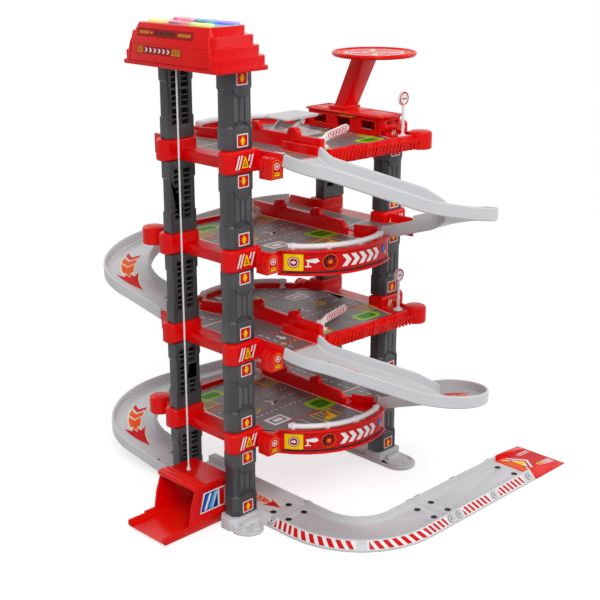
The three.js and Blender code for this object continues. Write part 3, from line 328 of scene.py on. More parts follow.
def finished(piece, body, slot, *replaced):
    """Attaches a piece to the body that carries it and hides the CAD nodes that it stands for. Its colour
    slot is not used.
    """
    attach(piece, body)
    if replaced:
        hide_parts(*replaced)
    return piece


def put(piece, place, body, slot, degrees=None):
    """Settles a piece, smooths it up to an angle where one is given, and finishes it."""
    settle(piece, place)
    if degrees is not None:
        smooth(piece, degrees)
    return finished(piece, body, slot)


def soften(piece, width, segments=2, degrees=30):
    """Rounds the edges of a piece that are sharper than an angle."""
    apply_modifier(
        piece, "BEVEL", width=width, segments=segments, limit_method="ANGLE",
        angle_limit=math.radians(degrees),
    )


def linked(name, data):
    """A new object in the scene."""
    piece = bpy.data.objects.new(name, data)
    bpy.context.scene.collection.objects.link(piece)
    return piece


def discard(*patterns):
    """Takes away pieces that were only made to be copied."""
    for pattern in patterns:
        bpy.data.objects.remove(pattern)


def slot_material(slot):
    """The material on the moulded pieces of a colour slot."""
    makers = {
        "red_plastic": red_plastic, "grey_plastic": grey_plastic, "dark_plastic": dark_plastic,
        "white_plastic": white_plastic, "lens_plastic": dark_red_plastic, "motor_steel": brushed_steel,
    }
    return makers[slot]()


def moulded(node, body, slot, rounding=None, segments=2):
    """A copy of a CAD node's form as one closed mesh with rounded edges, finished."""
    name = node + "_moulded"
    piece = linked(name, NODES[node].data.copy())
    piece.data.name = name
    piece.data.materials.clear()
    piece.data.materials.append(slot_material(slot))
    edit(piece)
    bpy.ops.mesh.remove_doubles(threshold=CAD_WELD)
    bpy.ops.mesh.dissolve_limited(angle_limit=math.radians(FLAT_DEGREES))
    leave()
    apply_modifier(
        piece, "BEVEL", width=rounding or sizes().edge_round, segments=segments,
        limit_method="ANGLE", angle_limit=math.radians(32), use_clamp_overlap=False,
        harden_normals=False, miter_outer="MITER_ARC",
    )
    smooth(piece)
    return finished(piece, body, slot, node)


def copy_of(piece, name, place):
    """A copy with its own mesh, moved by a matrix."""
    twin = linked(name, piece.data.copy())
    twin.data.name = name
    settle(twin, place)
    return twin


def joined(name, pieces):
    """Some pieces as one, with a new name."""
    pick(*pieces)
    if len(pieces) > 1:
        bpy.ops.object.join()
    piece = bpy.context.object
    piece.name = name
    piece.data.name = name
    return piece


def add_line(curve, points, closed=True):
    """Adds a line of straight parts to a curve."""
    line = curve.splines.new("POLY")
    line.points.add(len(points) - 1)
    for point, place in zip(line.points, points):
        point.co = (*Vector(place).to_3d(), 1)
    line.use_cyclic_u = closed


def meshed(name, curve, material):
    """A curve as a mesh of one material."""
    pick(linked(name, curve))
    bpy.ops.object.convert(target="MESH")
    piece = bpy.context.object
    piece.data.materials.clear()
    piece.data.materials.append(material)
    return piece


def flat(name, outlines, low, high, material):
    """Closed outlines filled as one flat curve and made a thin plate, in millimetres."""
    curve = bpy.data.curves.new(name, "CURVE")
    curve.dimensions = "2D"
    curve.fill_mode = "BOTH"
    curve.extrude = (high - low) / 2
    for outline in outlines:
        add_line(curve, outline)
    piece = meshed(name, curve, material)
    settle(piece, Matrix.Translation((0, 0, (high + low) / 2)))
    tidy_mesh(piece)
    return piece


def printed(name, layers, step=0.09, first=0.0):
    """A stack of flat layers, one for each ink, lowest first, joined as one piece."""
    plates = []
    for index, (shade_name, outlines) in enumerate(layers):
        high = first + step * (index + 1)
        plates.append(flat(name + "_" + str(index), outlines, first, high, ink(shade_name)))
    return joined(name, plates)


def lathed(name, profile, material, steps=48):
    """A profile of (radius, height) spun round Z, in millimetres."""
    mesh = bpy.data.meshes.new(name)
    points = [(radius, 0, height) for radius, height in profile]
    mesh.from_pydata(points, [(i, i + 1) for i in range(len(points) - 1)], [])
    piece = linked(name, mesh)
    edit(piece)
    bpy.ops.mesh.spin(
        steps=steps, angle=2 * math.pi, center=(0, 0, 0), axis=(0, 0, 1), use_auto_merge=True
    )
    leave()
    tidy_mesh(piece)
    piece.data.materials.append(material)
    return piece


def swept(name, points, section, material):
    """A section swept along an open line, upright all the way, in millimetres."""
    profile = bpy.data.curves.new(name + "_section", "CURVE")
    profile.dimensions = "2D"
    add_line(profile, section)
    section_object = linked(name + "_section", profile)
    curve = bpy.data.curves.new(name, "CURVE")
    curve.dimensions = "3D"
    curve.twist_mode = "Z_UP"
    curve.bevel_mode = "OBJECT"
    curve.bevel_object = section_object
    curve.use_fill_caps = True
    add_line(curve, points, False)
    piece = meshed(name, curve, material)
    bpy.data.objects.remove(section_object)
    tidy_mesh(piece)
    return piece


def slice_along(piece, axis, low, high, step):
    """Cuts a flat piece at even places along an axis, so that it can follow a curve."""
    direction = Vector((1, 0, 0)) if axis == 0 else Vector((0, 1, 0))
    count = max(1, math.ceil((high - low) / step))
    edit(piece)
    for index in range(1, count):
        bpy.ops.mesh.select_all(action="SELECT")
        place = direction * (low + (high - low) * index / count)
        bpy.ops.mesh.bisect(plane_co=place, plane_no=direction)
    leave()


def bend_to(piece, place_of):
    """Moves each point of a flat piece to where a function puts it."""
    for vertex in piece.data.vertices:
        vertex.co = place_of(*vertex.co)


def eyelet(name, radius=1.6):
    """A hole with a rounded rim, set in a floor at zero; the hole itself is a black disc of painted shade.
    """
    rim = [(0.15, 0.2), (0.5, 0.3), (0.8, 0.2), (0.9, -0.1)]
    profile = [(0, 0.02), (radius, 0.02)] + [(radius + out, height) for out, height in rim]
    return lathed(name, profile, black_plastic(), 24)


# Outlines, in millimetres


def arc(x, y, radius, start, end, steps=16):
    angles = [math.radians(start + (end - start) * i / steps) for i in range(steps + 1)]
    return [(x + radius * math.cos(a), y + radius * math.sin(a)) for a in angles]


def circle(x, y, radius, steps=28):
    return arc(x, y, radius, 0, 360, steps)[:-1]


def ring(x, y, outer, inner, steps=28):
    return [circle(x, y, outer, steps), circle(x, y, inner, steps)]


def rectangle(x0, x1, y0, y1):
    return [(x0, y0), (x1, y0), (x1, y1), (x0, y1)]


def soft_rectangle(x0, x1, y0, y1, radius, steps=5):
    """A rectangle with rounded corners."""
    return (
        arc(x1 - radius, y1 - radius, radius, 0, 90, steps)
        + arc(x0 + radius, y1 - radius, radius, 90, 180, steps)
        + arc(x0 + radius, y0 + radius, radius, 180, 270, steps)
        + arc(x1 - radius, y0 + radius, radius, 270, 360, steps)
    )


def frame_outline(x0, x1, y0, y1, width):
    """The two outlines of a flat frame."""
    return [rectangle(x0, x1, y0, y1), rectangle(x0 + width, x1 - width, y0 + width, y1 - width)]


def stroke(x0, y0, x1, y1, width):
    """A straight bar of some width between two points."""
    length = math.hypot(x1 - x0, y1 - y0)
    u = (y0 - y1) / length * width / 2
    v = (x1 - x0) / length * width / 2
    return [(x0 + u, y0 + v), (x0 - u, y0 - v), (x1 - u, y1 - v), (x1 + u, y1 + v)]


def dashes(x0, y0, x1, y1, width, dash, gap):
    """Bars in a row from one point towards another."""
    length = math.hypot(x1 - x0, y1 - y0)
    count = max(1, int((length + gap) / (dash + gap)))
    bars = []
    for index in range(count):
        start = index * (dash + gap) / length
        end = min(1.0, start + dash / length)
        bars.append(
            stroke(
                x0 + (x1 - x0) * start, y0 + (y1 - y0) * start,
                x0 + (x1 - x0) * end, y0 + (y1 - y0) * end, width,
            )
        )
    return bars


def mirrored(outlines, way, middle=0.0):
    """Outlines moved to a middle at zero, and turned over where the way is -1."""
    return [[(way * (x - middle), y) for x, y in outline] for outline in outlines]


def moved(outline, x, y, turn=0.0, scale=1.0):
    """An outline scaled, turned by degrees and moved."""
    c = math.cos(math.radians(turn)) * scale
    s = math.sin(math.radians(turn)) * scale
    return [(x + u * c - v * s, y + u * s + v * c) for u, v in outline]


def arrow(length, width, shaft=0.42, head=0.5):
    """A plain arrow along +X with its tail at zero."""
    neck = length * (1 - head)
    half = width / 2
    stem = half * shaft
    return [
        (0, -stem), (neck, -stem), (neck, -half), (length, 0), (neck, half), (neck, stem), (0, stem),
    ]


def slanted_bars(x0, x1, y0, y1, count, lean, share=0.5):
    """Slanted bars that fill a strip, cut off at its ends."""
    pitch = (x1 - x0 + abs(lean)) / count
    bars = []
    for index in range(count):
        low = x0 + pitch * index - max(0, lean)
        high = low + pitch * share
        bar = [(low, y0), (high, y0), (high + lean, y1), (low + lean, y1)]
        bars.append([(min(max(x, x0), x1), y) for x, y in bar])
    return [bar for bar in bars if max(p[0] for p in bar) - min(p[0] for p in bar) > 0.2]


def bush(x, y, width, height, lobes=9, depth=0.16):
    """A wavy closed outline, like a clipped bush seen from above."""
    outline = []
    for index in range(lobes * 6):
        angle = 2 * math.pi * index / (lobes * 6)
        wave = 1 - depth * (0.5 + 0.5 * math.cos(lobes * angle))
        square = 1 / max(abs(math.cos(angle)), abs(math.sin(angle))) ** 0.6
        outline.append(
            (x + width / 2 * wave * square * math.cos(angle) * 0.86,
             y + height / 2 * wave * square * math.sin(angle) * 0.86)
        )
    return outline


# Materials


def node_group(name, inputs, outputs, build):
    """A shader group with named inputs and outputs."""
    group = bpy.data.node_groups.new(name, "ShaderNodeTree")
    for label, kind, value in inputs:
        socket = group.interface.new_socket(label, in_out="INPUT", socket_type=kind)
        if value is not None:
            socket.default_value = value
    for label, kind in outputs:
        group.interface.new_socket(label, in_out="OUTPUT", socket_type=kind)
    start = group.nodes.new("NodeGroupInput")
    end = group.nodes.new("NodeGroupOutput")
    build(group, start, end)
    return group


def wire(tree, source, socket):
    """Wires an output to a socket, or gives the socket a plain value."""
    if isinstance(source, (int, float, tuple)):
        socket.default_value = source
    else:
        tree.links.new(source, socket)


def new_node(tree, kind, inputs=None):
    """A shader node with its named inputs wired or set."""
    made = tree.nodes.new("ShaderNode" + kind)
    for label, value in (inputs or {}).items():
        wire(tree, value, made.inputs[label])
    return made


def math_node(tree, operation, *values, clamp=False):
    made = new_node(tree, "Math")
    made.operation = operation
    made.use_clamp = clamp
    for socket, value in zip(made.inputs, values):
        wire(tree, value, socket)
    return made.outputs[0]


def noise_node(tree, vector, scale, detail=2.0, rough=0.5):
    inputs = {"Scale": scale, "Detail": detail, "Roughness": rough, "Vector": vector}
    return new_node(tree, "TexNoise", inputs).outputs["Fac"]


def range_node(tree, value, low, high, to_low=0.0, to_high=1.0):
    inputs = {"Value": value, "From Min": low, "From Max": high, "To Min": to_low, "To Max": to_high}
    return new_node(tree, "MapRange", inputs).outputs["Result"]


def blend_node(tree, factor, first, second, mode="MIX"):
    made = new_node(tree, "Mix")
    made.data_type = "RGBA"
    made.blend_type = mode
    made.clamp_factor = True
    for index, value in ((0, factor), (6, first), (7, second)):
        wire(tree, value, made.inputs[index])
    return made.outputs[2]


def bump_node(tree, height, strength, distance):
    inputs = {"Strength": strength, "Distance": distance, "Height": height}
    return new_node(tree, "Bump", inputs).outputs["Normal"]


def build_moulding(group, start, end):
    """Colour drift, flow streaks and a fine skin, as on injection moulded plastic, with painted highlights
    on its convex edges, broken up by the streaks.
    """
    given = start.outputs
    drift = noise_node(group, given["Place"], 9.0, 3.0, 0.55)
    speck = noise_node(group, given["Place"], 900.0, 2.0, 0.6)
    stretch = new_node(group, "Mapping", {"Scale": (1.0, 1.0, 0.15), "Vector": given["Place"]})
    flow = noise_node(group, stretch.outputs["Vector"], 55.0, 4.0, 0.6)
    darker = blend_node(group, 1.0, given["Colour"], (0.72, 0.70, 0.72, 1), "MULTIPLY")
    # Painted highlight: convex edges, found by pointiness, are lightened towards the edge highlight tint.
    highlight_colour = blend_node(group, given["Edge light"], given["Colour"], given["Edge tint"])
    cloud = math_node(group, "MULTIPLY", range_node(group, drift, 0.3, 0.7), given["Drift"])
    toned = blend_node(group, cloud, given["Colour"], darker)
    geometry = new_node(group, "NewGeometry")
    edge = range_node(group, geometry.outputs["Pointiness"], 0.515, 0.60)
    highlight_mask = math_node(group, "MULTIPLY", edge, range_node(group, flow, 0.35, 0.6, 0.3, 1.0))
    rough_drift = math_node(group, "MULTIPLY_ADD", flow, 0.12, given["Roughness"])
    height = math_node(group, "MULTIPLY_ADD", flow, 0.6, math_node(group, "MULTIPLY", speck, 0.4))
    wire(group, blend_node(group, highlight_mask, toned, highlight_colour), end.inputs["Colour"])
    wire(group, math_node(group, "ADD", rough_drift, -0.06, clamp=True), end.inputs["Roughness"])
    wire(group, bump_node(group, height, given["Skin"], 0.0004), end.inputs["Normal"])


def build_ink(group, start, end):
    """Printed ink on foil: an even tone with faint mottling and tiny scuffs."""
    given = start.outputs
    mottle = range_node(group, noise_node(group, given["Place"], 140.0, 3.0, 0.6), 0.35, 0.65)
    scuff = range_node(group, noise_node(group, given["Place"], 620.0, 4.0, 0.7), 0.66, 0.74)
    darker = blend_node(group, 1.0, given["Colour"], (0.86, 0.86, 0.86, 1), "MULTIPLY")
    toned = blend_node(group, math_node(group, "MULTIPLY", mottle, 0.6), given["Colour"], darker)
    pale = blend_node(group, 0.35, given["Colour"], (0.8, 0.8, 0.8, 1))
    worn = math_node(group, "MULTIPLY", scuff, given["Scuff"])
    wire(group, blend_node(group, worn, toned, pale), end.inputs["Colour"])
    wire(group, range_node(group, mottle, 0.0, 1.0, 0.34, 0.44), end.inputs["Roughness"])
    wire(group, bump_node(group, mottle, 0.06, 0.0002), end.inputs["Normal"])


def build_stripes(group, start, end):
    """Fine lines across a surface, as a mask from 0 to 1."""
    split = new_node(group, "SeparateXYZ", {"Vector": start.outputs["Place"]})
    lines = math_node(group, "MULTIPLY", split.outputs["X"], start.outputs["Per metre"])
    wave = math_node(group, "PINGPONG", lines, 0.5)
    wire(group, range_node(group, wave, 0.12, 0.3, 1.0, 0.0), end.inputs["Mask"])


def build_groups():
    number = "NodeSocketFloat"
    colour = ("Colour", "NodeSocketColor", (0.8, 0.8, 0.8, 1))
    place = ("Place", "NodeSocketVector", None)
    outputs = [("Colour", "NodeSocketColor"), ("Roughness", number), ("Normal", "NodeSocketVector")]
    moulding = [
        colour, place, ("Roughness", number, 0.3), ("Drift", number, 0.3), ("Edge light", number, 0.25),
        ("Skin", number, 0.1), ("Edge tint", "NodeSocketColor", (1, 1, 1, 1)),
    ]
    node_group("moulded_plastic", moulding, outputs, build_moulding)
    node_group("printed_ink", [colour, place, ("Scuff", number, 0.4)], outputs, build_ink)
    node_group("fine_lines", [place, ("Per metre", number, 500.0)], [("Mask", number)], build_stripes)


def to_linear(colour):
    """A colour as shown on a screen, turned into the renderer's own values."""
    made = [c / 12.92 if c <= 0.04045 else ((c + 0.055) / 1.055) ** 2.4 for c in colour]
    return (*made, 1.0)


def new_material(name):
    """A material with one shader: its tree, the shader and the place on the piece."""
    material = bpy.data.materials.new(name)
    material.use_nodes = True
    tree = material.node_tree
    tree.nodes.clear()
    output = new_node(tree, "OutputMaterial")
    shader = new_node(tree, "BsdfPrincipled")
    wire(tree, shader.outputs["BSDF"], output.inputs["Surface"])
    return tree, shader, new_node(tree, "TexCoord").outputs["Object"]


def made_once(build):
    """Called with a name, it builds that new material one time and finds it after that."""
    def find(name, *values, **named):
        if name not in bpy.data.materials:
            build(*new_material(name), *values, **named)
        return bpy.data.materials[name]

    return find


def dress(tree, shader, group_name, place, values):
    """Feeds a shader from one of the groups."""
    group = tree.nodes.new("ShaderNodeGroup")
    group.node_tree = bpy.data.node_groups[group_name]
    wire(tree, place, group.inputs["Place"])
    for label, value in values.items():
        wire(tree, value, group.inputs[label])
    for label, target in (("Colour", "Base Color"), ("Roughness", "Roughness"), ("Normal", "Normal")):
        wire(tree, group.outputs[label], shader.inputs[target])


@made_once
def plastic(
    tree, shader, place, colour, roughness=0.3, drift=0.3, edge=0.2, skin=0.1, gloss=0.2,
    edge_highlight_tint=(1, 1, 1), metal=0.0,
):
    """A moulded material, with its colour, roughness, drift, painted edge highlights (their amount is
    edge), skin and gloss.
    """
    values = {
        "Colour": to_linear(colour), "Roughness": roughness, "Drift": drift, "Edge light": edge,
        "Skin": skin, "Edge tint": to_linear(edge_highlight_tint),
    }
    dress(tree, shader, "moulded_plastic", place, values)
    shader.inputs["Specular IOR Level"].default_value = gloss
    shader.inputs["Metallic"].default_value = metal


# The frame holds plain materials called red_plastic and so on, so these have longer names.


def red_plastic():
    # The orange tint is the colour of the painted highlights on the red's edges.
    return plastic(
        "moulded_red_plastic", colours().red, 0.25, 0.25, 0.2, 0.07, 0.16, edge_highlight_tint=(1.0, 0.28, 0.1)
    )


# A darker copy of the red plastic: painted shade, as the red looks in a recess.
def dark_red_plastic():
    shaded_red = tuple(c * 0.66 for c in colours().red)
    return plastic("moulded_recess_red_plastic", shaded_red, 0.4, 0.3, 0.05)


def grey_plastic():
    return plastic("moulded_grey_plastic", colours().grey, 0.34, 0.3, 0.15, 0.09, 0.3)


def dark_plastic():
    return plastic("moulded_dark_plastic", colours().dark, 0.34, 0.35, 0.05, 0.14, 0.35)


# Black that is painted shade: it fills ladder pockets, holes, sockets and a groove.
def black_plastic():
    return plastic("moulded_black_plastic", INKS["black"], 0.45, 0.2, 0.1)


def white_plastic():
    return plastic("moulded_white_plastic", colours().white, 0.33, 0.15, 0.2, 0.08)


def brushed_steel():
    return plastic("brushed_steel", (0.70, 0.71, 0.73), 0.34, 0.3, 0.2, 0.2, 0.5, metal=1.0)


INKS = {
    "white": (0.95, 0.95, 0.95), "red": (0.84, 0.04, 0.06), "deep_red": (0.62, 0.02, 0.05),
    "orange": (0.97, 0.45, 0.03), "flame": (0.97, 0.36, 0.05), "black": (0.05, 0.05, 0.055),
    "lime": (0.62, 0.86, 0.18), "blue": (0.05, 0.33, 0.75), "sky": (0.35, 0.72, 0.93),
    "cream": (0.97, 0.93, 0.84), "forest": (0.08, 0.34, 0.04), "deep_blue": (0.03, 0.20, 0.55),
    "gold": (0.87, 0.62, 0.12), "umber": (0.30, 0.10, 0.06),
}


def ink(shade_name):
    """A printed ink. Its colour is in the list above, or else in the settings."""
    if shade_name == "asphalt":
        return asphalt_print("asphalt_ink")
    colour = INKS.get(shade_name) or getattr(colours(), shade_name)
    return plain_print(shade_name + "_ink", colour)


@made_once
def plain_print(tree, shader, place, colour):
    dress(tree, shader, "printed_ink", place, {"Colour": to_linear(colour), "Scuff": 0.35})
    shader.inputs["Specular IOR Level"].default_value = 0.15


@made_once
def asphalt_print(tree, shader, place):
    """Printed asphalt with fine pale lines across it."""
    lines = tree.nodes.new("ShaderNodeGroup")
    lines.node_tree = bpy.data.node_groups["fine_lines"]
    lines.inputs["Per metre"].default_value = 420.0
    wire(tree, place, lines.inputs["Place"])
    tone = to_linear(colours().asphalt)
    pale = tuple(min(1.0, c * 1.35) for c in tone[:3]) + (1.0,)
    mixed = blend_node(tree, lines.outputs["Mask"], tone, pale)
    dress(tree, shader, "printed_ink", place, {"Colour": mixed, "Scuff": 0.3})


@made_once
def lamp_plastic(tree, shader, place, first, second, glow):
    """A tinted lamp window in two tones, with light behind it."""
    cells = new_node(tree, "TexVoronoi", {"Scale": 70.0, "Vector": place})
    share = range_node(tree, noise_node(tree, place, 45.0, 2.0, 0.5), 0.42, 0.6)
    tint = blend_node(tree, share, to_linear(first), to_linear(second))
    spots = range_node(tree, cells.outputs["Distance"], 0.0, 0.28, 0.45, 0.0)
    tint = blend_node(tree, spots, tint, (1.0, 1.0, 1.0, 1.0))
    values = {"Colour": tint, "Roughness": 0.14, "Drift": 0.3, "Edge light": 0.4, "Skin": 0.05}
    dress(tree, shader, "moulded_plastic", place, values)
    wire(tree, tint, shader.inputs["Emission Color"])
    shader.inputs["Emission Strength"].default_value = glow


@made_once
def twisted_thread(tree, shader, place):
    """White twisted thread: slanted strands along the cord, darker between the strands as painted shade in
    the twist's grooves.
    """
    split = new_node(tree, "SeparateXYZ", {"Vector": place})
    along_cord = math_node(tree, "MULTIPLY", split.outputs["Z"], 2600.0)
    around = math_node(tree, "MULTIPLY", split.outputs["Y"], 3200.0)
    strands = math_node(tree, "SINE", math_node(tree, "ADD", along_cord, around))
    tone = range_node(tree, strands, -1.0, 1.0)
    # Painted shade: the colour darkens where the bump sinks between the strands.
    colour = blend_node(tree, tone, to_linear((0.74, 0.74, 0.75)), to_linear((0.97, 0.97, 0.97)))
    fuzz = noise_node(tree, place, 1500.0, 3.0, 0.6)
    wire(tree, colour, shader.inputs["Base Color"])
    wire(tree, range_node(tree, fuzz, 0.3, 0.7, 0.6, 0.8), shader.inputs["Roughness"])
    wire(tree, bump_node(tree, tone, 0.6, 0.0002), shader.inputs["Normal"])


def cord_fibre():
    return twisted_thread("cord_fibre")


# Labels


def column_label(name, way):
    """A red label with a white edge and a yellow arrow, up (1) or down (-1), drawn round zero."""
    w = 7.0
    h = 6.2
    point = moved(arrow(8.0, 6.0, 0.5, 0.55), 0, -4.0 * way, 90 * way)
    cross_bar = rectangle(-3.2, 3.2, -1.1 * way - 0.9, -1.1 * way + 0.9)
    return printed(name, [
        ("white", [soft_rectangle(-w, w, -h, h, 0.8)]),
        ("red", [soft_rectangle(-w + 1.0, w - 1.0, -h + 1.0, h - 1.0, 0.4)]),
        ("orange", [cross_bar]),
        ("yellow", [point]),
    ])


def collar_label(name):
    """White bars that all lean the same way, on both sides of a yellow warning triangle."""
    bars = [[(x, -6.5), (x + 1.8, -6.5), (x + 6.3, 6.5), (x + 4.5, 6.5)] for x in (-12.4, -8.9, 4.9)]
    bars.append([(3.4, 0.5), (5.2, 0.5), (7.3, 6.5), (5.5, 6.5)])
    return printed(name, [
        ("red", [soft_rectangle(-12.6, 12.6, -7.4, 7.4, 1.0)]),
        ("white", bars),
        ("yellow", [[(-4.5, -5.5), (4.5, -5.5), (0.5, 5.3), (-0.5, 5.3)]]),
        ("deep_red", [[(-2.4, -4.0), (2.4, -4.0), (0, 1.9)]]),
        ("yellow", [rectangle(-0.5, 0.5, -3.2, -0.6)]),
    ])


def hub_label(name):
    """An arch with a ring in it, for the face of a hub."""
    outer = arc(0, 0, 5.6, 0, 180, 14) + [(-5.6, -11.5), (5.6, -11.5)]
    inner = arc(0, 0, 4.7, 0, 180, 14) + [(-4.7, -10.6), (4.7, -10.6)]
    return printed(name, [
        ("orange", [outer]),
        ("red", [inner]),
        ("white", ring(0, -0.6, 3.4, 2.7) + [circle(0, -0.6, 1.3, 16)]),
        ("yellow", [rectangle(-3.4, 3.4, -9.6, -8.2), rectangle(-3.4, 3.4, -7.2, -6.4)]),
    ])


class GarageOperator:
    """What all the operators share: they build and report that they finished."""

    bl_options = {"REGISTER", "UNDO"}

    def execute(self, context):
        self.build()
        return {"FINISHED"}


# Columns


def column_places():
    """Every post: its node, column sides, lower and upper end."""
    for column, side_x, side_y, storeys in (
        ("left_front_post", -1, -1, 5), ("left_rear_post", -1, 1, 5),
        ("right_front_post", 1, -1, 4), ("right_rear_post", 1, 1, 4),
    ):
        for storey in range(1, storeys + 1):
            node = column + "_" + str(storey)
            low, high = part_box(node)
            yield node, side_x, side_y, low.z / MM, high.z / MM - SPIGOT_HEIGHT


def post_face_detail(name, low, high):
    """Rims round the arched foot and head of a post's outer face, and raised panels between them."""
    w = POST_WIDTH / 2 - 4.2
    g = POST_GROWTH
    foot_top = low + POST_FOOT_HEIGHT - 1.6
    head_low = high - POST_HEAD_HEIGHT - 0.6
    arch = arc(0, foot_top - 4.4, w, 12, 168, 14)
    rim = [(w, low + 0.6), *arch, (-w, low + 0.6), (-w + 1.1, low + 0.6)]
    rim += [(x * 0.89, y - 1.1) for x, y in reversed(arch)] + [(w - 1.1, low + 0.6)]
    bowl = arc(0, head_low + 4.6, w, 200, 340, 14)
    tongue = [(-w, high - 0.6), (-w, head_low + 6.0), *bowl, (w, head_low + 6.0), (w, high - 0.6)]
    panels = [
        soft_rectangle(x - 2.7, x + 2.7, foot_top + w - 6.0, head_low + 1.0, 0.5, 3)
        for x in (-6.9, 0.0, 6.9)
    ]
    plates = [
        flat(name + "_arch", [rim], g - 0.3, g + 0.5, dark_plastic()),
        flat(name + "_head", [tongue], g - 0.5, g + 0.45, dark_plastic()),
        flat(name + "_panels", panels, -0.5, 0.7, dark_plastic()),
    ]
    for plate in plates:
        soften(plate, 0.3)
    piece = joined(name, plates)
    smooth(piece)
    return piece


class GARAGE_OT_columns(GarageOperator, bpy.types.Operator):
    """Posts with arched mouldings, ribs and ladder pockets whose sunk faces are painted black as shade"""

    bl_idname = "garage.columns"
    bl_label = "Columns"

    def build(self):
        for node, side_x, side_y, low, high in column_places():
            piece = moulded(node, "garage", "dark_plastic")
            # The black second material is painted shade in the ladder pockets.
            piece.data.materials.append(black_plastic())
            blacken_pockets(piece, side_y)
            detail = post_face_detail(node + "_face", low, high)
            rungs = fine_rungs(node + "_rungs", low, high)
            for made, side in ((detail, 1), (rungs, -1)):
                face_y = side_y * (COLUMN_Y + side * POST_DEPTH / 2)
                place = upright(side_x * COLUMN_X, face_y, 0, 90 * side * side_y)
                put(made, TOWER_FRAME @ place, "garage", "dark_plastic")


def fine_rungs(name, low, high):
    """Thin rungs across both channels of a ladder face, between the thick moulded ones."""
    run = high - low - 2 * LADDER_MARGIN - SPIGOT_HEIGHT
    count = max(2, round(run / LADDER_PITCH))
    pitch = run / count
    bars = []
    for index in range(count):
        start = low + SPIGOT_HEIGHT + LADDER_MARGIN + index * pitch
        for share in (1 / 3, 2 / 3):
            z = start + (pitch - LADDER_RUNG) * share
            bars += [rectangle(x - 4.8, x + 4.8, z - 0.5, z + 0.5) for x in (-6.0, 6.0)]
    return flat(name, bars, -4.6, -1.2, dark_plastic())


def blacken_pockets(piece, side_y):
    """Paints shade on the sunk faces of the ladder: they get the black second material."""
    open_face = side_y * (COLUMN_Y - POST_DEPTH / 2) * MM
    for face in piece.data.polygons:
        inward = (face.center.y - open_face) * side_y / MM
        if POCKET_DEPTH - 0.7 < inward < POCKET_DEPTH + 0.7 and abs(face.normal.y) > 0.9:
            face.material_index = 1


class GARAGE_OT_column_labels(GarageOperator, bpy.types.Operator):
    """Labels above and below each collar, and on the collars"""

    bl_idname = "garage.column_labels"
    bl_label = "Column labels"

    def build(self):
        up = column_label("label_up", 1)
        down = column_label("label_down", -1)
        collar = collar_label("label_collar")
        face = COLUMN_Y + POST_DEPTH / 2
        for node, side_x, side_y, low, high in column_places():
            for pattern, word, proud, z in (
                (up, "_label_low", POST_GROWTH + FLOAT, low + 8.6),
                (down, "_label_high", POST_GROWTH + 0.48, high - 7.4),
            ):
                place = upright(side_x * COLUMN_X, side_y * (face + proud), z, 90 * side_y)
                finished(copy_of(pattern, node + word, TOWER_FRAME @ place), "garage", "white_plastic")
        for level, side_x, side_y in itertools.product(LEVELS, (-1, 1), (-1, 1)):
            words = (str(level), "right" if side_x > 0 else "left", "rear" if side_y > 0 else "front")
            y = side_y * (face + COLLAR_PROUD_Y + 0.05)
            place = TOWER_FRAME @ upright(side_x * COLUMN_X, y, LEVEL_HEIGHT * level, 90 * side_y)
            label = copy_of(collar, "collar_label_" + "_".join(words), place)
            finished(label, "garage", "white_plastic")
        discard(up, down, collar)


# Decks


def hub_shell(name):
    """A smooth arch over a hub, with two grooves round its crown. It runs along Y round zero."""
    middle = HUB_RISE - HUB_WIDTH / 2
    bands = (-7.6, -4.4, -3.6, 3.6, 4.4, 7.6)
    parts = []
    for index, (y0, y1) in enumerate(zip(bands, bands[1:])):
        grooved = index % 2 == 1
        radius = HUB_WIDTH / 2 + (-0.35 if grooved else 0.12)
        outline = arc(0, middle, radius, 0, 180, 24) + [(-radius, middle - 4), (radius, middle - 4)]
        band = flat(name, [outline], y0, y1, red_plastic())
        settle(band, Matrix.Rotation(math.pi / 2, 4, "X") @ Matrix.Diagonal((1, 1, -1, 1)))
        parts.append(band)
    shell = joined(name, parts)
    soften(shell, 0.3, degrees=40)
    smooth(shell)
    return shell


def slanted_ribs():
    """Fine slanted ribs on the outer face of a deck's slanted back wall."""
    x0 = CENTRE_WALL_X - DECK_WALL
    y0 = LANE_END - DECK_WALL
    x1 = -COLUMN_X + DECK_WALL
    y1 = LANE_END + KNOB_RADIUS
    length_along = math.hypot(x1 - x0, y1 - y0)
    out = Vector(((y1 - y0) / length_along, (x0 - x1) / length_along))
    bars = slanted_bars(6, length_along - 16, -8.8, 1.8, 24, 3.4, 0.46)
    ribs = flat("slanted_ribs", bars, -0.4, 0.45, red_plastic())
    soften(ribs, 0.3)
    reach = RIBBED_WALL_THICKNESS / 2
    heading = math.degrees(math.atan2(out.y, out.x))
    settle(ribs, upright(x0 + out.x * reach, y0 + out.y * reach, 0, heading))
    return ribs


